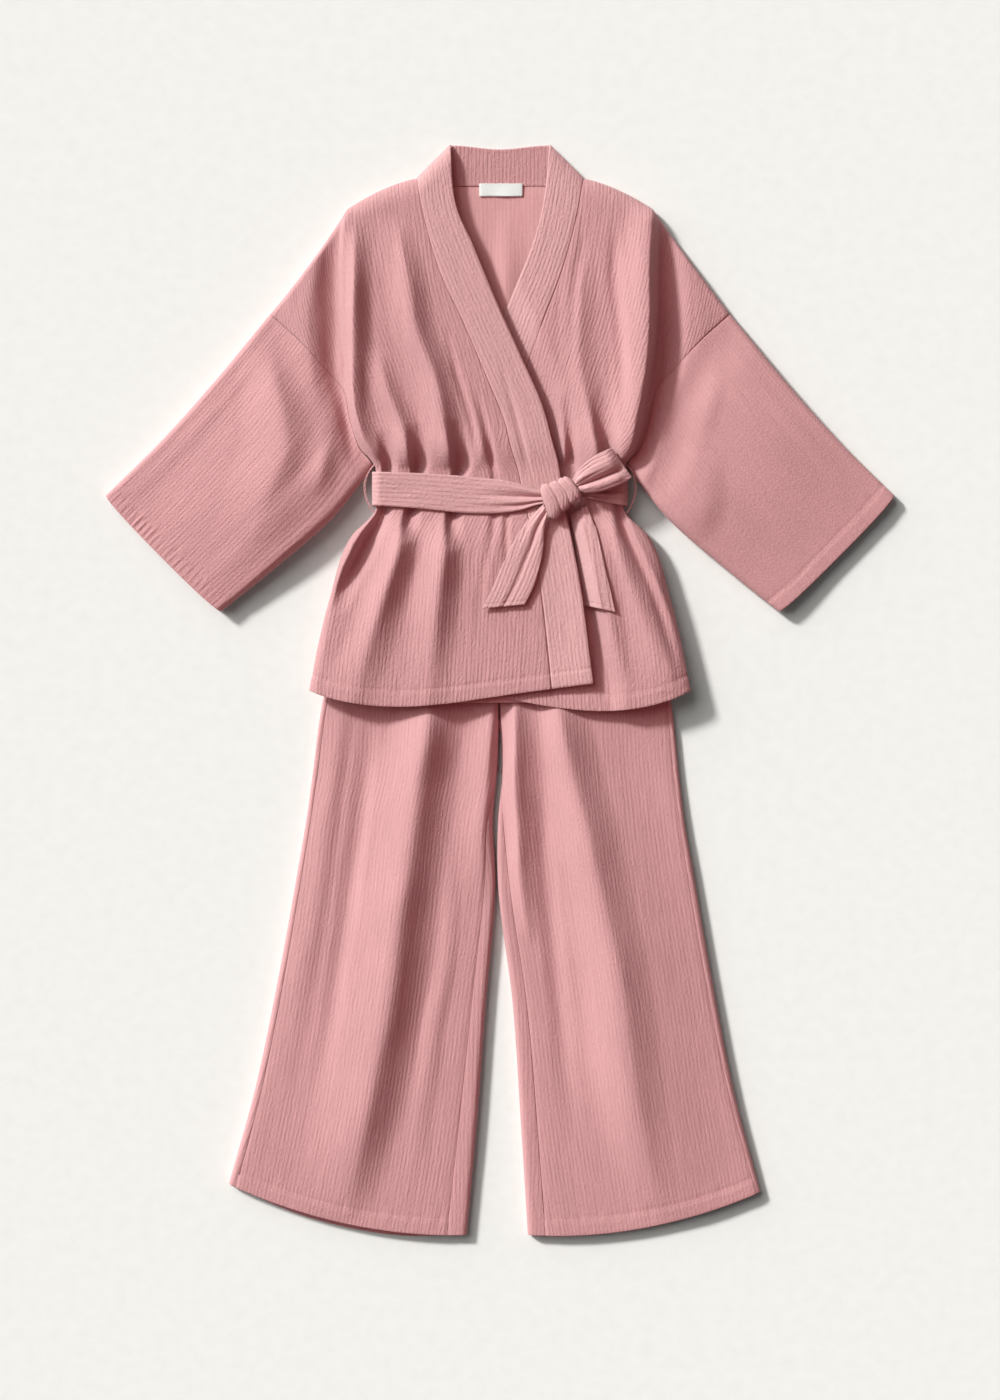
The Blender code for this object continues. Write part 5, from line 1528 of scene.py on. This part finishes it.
# %% Label
bpy.ops.object.select_all(action="DESELECT")
bpy.ops.mesh.primitive_cube_add(size=1, location=(0.001, 0.6495, 0.0038))
label = bpy.context.object
label.name = "blank_label"
label.scale = (0.056, 0.0165, 0.0007)
bpy.ops.object.transform_apply(location=True, rotation=False, scale=True)
bpy.ops.object.mode_set(mode="EDIT")
bpy.ops.mesh.select_all(action="SELECT")
bpy.ops.mesh.subdivide(number_cuts=12)
bpy.ops.object.mode_set(mode="OBJECT")
bevel = label.modifiers.new("soft edges", "BEVEL")
bevel.width, bevel.segments = 0.0002, 2
bpy.ops.object.modifier_apply(modifier=bevel.name)
label.data.materials.append(LABEL_WHITE)
for vert in label.data.vertices:
    vert.co.z += 0.00045 * math.sin(vert.co.x * 170) * max(0.0, 1 - (vert.co.y - 0.641) / 0.017)
label.data.shade_smooth()
sewn(label, "neck_label")
edge_lines = []
for y in (642.6, 656.4):
    for x in np.arange(-24.5, 27, 3.0):
        edge_lines.append([(x, y, 4.0), (x + 0.7, y, 4.5), (x + 1.8, y, 4.0)])
label_stitches = tube("stitches_label", edge_lines, 0.2, 5)
label_stitches.data.materials[0] = LABEL_WHITE
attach(label_stitches, "root")
print("label is", [round(side * 1000) for side in label.dimensions], "mm")

# %% [markdown]
# ## Floor, light and camera
#
# The set lies on a matt, pale floor that reaches well past the picture, so no edge of it shows.

# %% Floor
bpy.ops.object.select_all(action="DESELECT")
bpy.ops.mesh.primitive_plane_add(size=40, location=(0, 0, 0))
floor = bpy.context.object
floor.name = "floor"
floor.data.materials.append(PAPER)
print("floor is", floor.dimensions[0], "m wide")

# %% [markdown]
# The light is low and comes from the upper left, so every fold has a lit side and a shaded one. A small sun
# gives shadows with an edge, and a broad one softens them. A weak red sun lights the cloth only, and stands
# for the light that bounces between folds of pink cloth. The room itself gives a faint even light.

# %% Light
scene = bpy.context.scene
elevation, azimuth = math.radians(29), math.radians(141)
for name, energy, angle in (("key_light", 3.9, 8), ("key_glow", 2.05, 70)):
    key_data = bpy.data.lights.new(name, "SUN")
    key_data.energy = energy
    key_data.angle = math.radians(angle)
    key_data.color = (1.0, 0.985, 0.965)
    key = bpy.data.objects.new(name, key_data)
    scene.collection.objects.link(key)
    key.rotation_euler = (math.pi / 2 - elevation, 0, azimuth + math.pi / 2)
garment = bpy.data.collections.new("garment")
for made in [o for o in scene.objects if o.type == "MESH" and o.name != "floor" and "label" not in o.name]:
    garment.objects.link(made)
warm_data = bpy.data.lights.new("warm_card", "SUN")
warm_data.energy = 0.66
warm_data.angle = math.radians(120)
warm_data.color = (1.0, 0.04, 0.06)
warm = bpy.data.objects.new("warm_card", warm_data)
scene.collection.objects.link(warm)
warm.light_linking.receiver_collection = garment
world = bpy.data.worlds.new("soft_room")
world.use_nodes = True
world.node_tree.nodes["Background"].inputs["Color"].default_value = (0.95, 1.0, 0.97, 1)
world.node_tree.nodes["Background"].inputs["Strength"].default_value = 0.088
scene.world = world
scene.view_settings.view_transform = "Standard"
print("key light", round(math.degrees(elevation)), "degrees up")

# %% [markdown]
# The camera is straight above, with a long lens far away, so that nothing looks bent.

# %% Camera
camera_data = bpy.data.cameras.new("camera")
camera_data.lens = 85
camera_data.sensor_width = 36
camera = bpy.data.objects.new("camera", camera_data)
camera.location = (0.0, -0.013, 4.297)
scene.collection.objects.link(camera)
scene.camera = camera
print("camera is", camera.location[2], "m up")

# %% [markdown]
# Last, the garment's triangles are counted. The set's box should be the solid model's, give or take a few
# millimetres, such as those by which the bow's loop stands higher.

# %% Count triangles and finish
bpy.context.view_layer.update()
added = sum(len(p.vertices) - 2 for o in garment.objects for p in o.data.polygons)
print("triangles in the garment:", added)
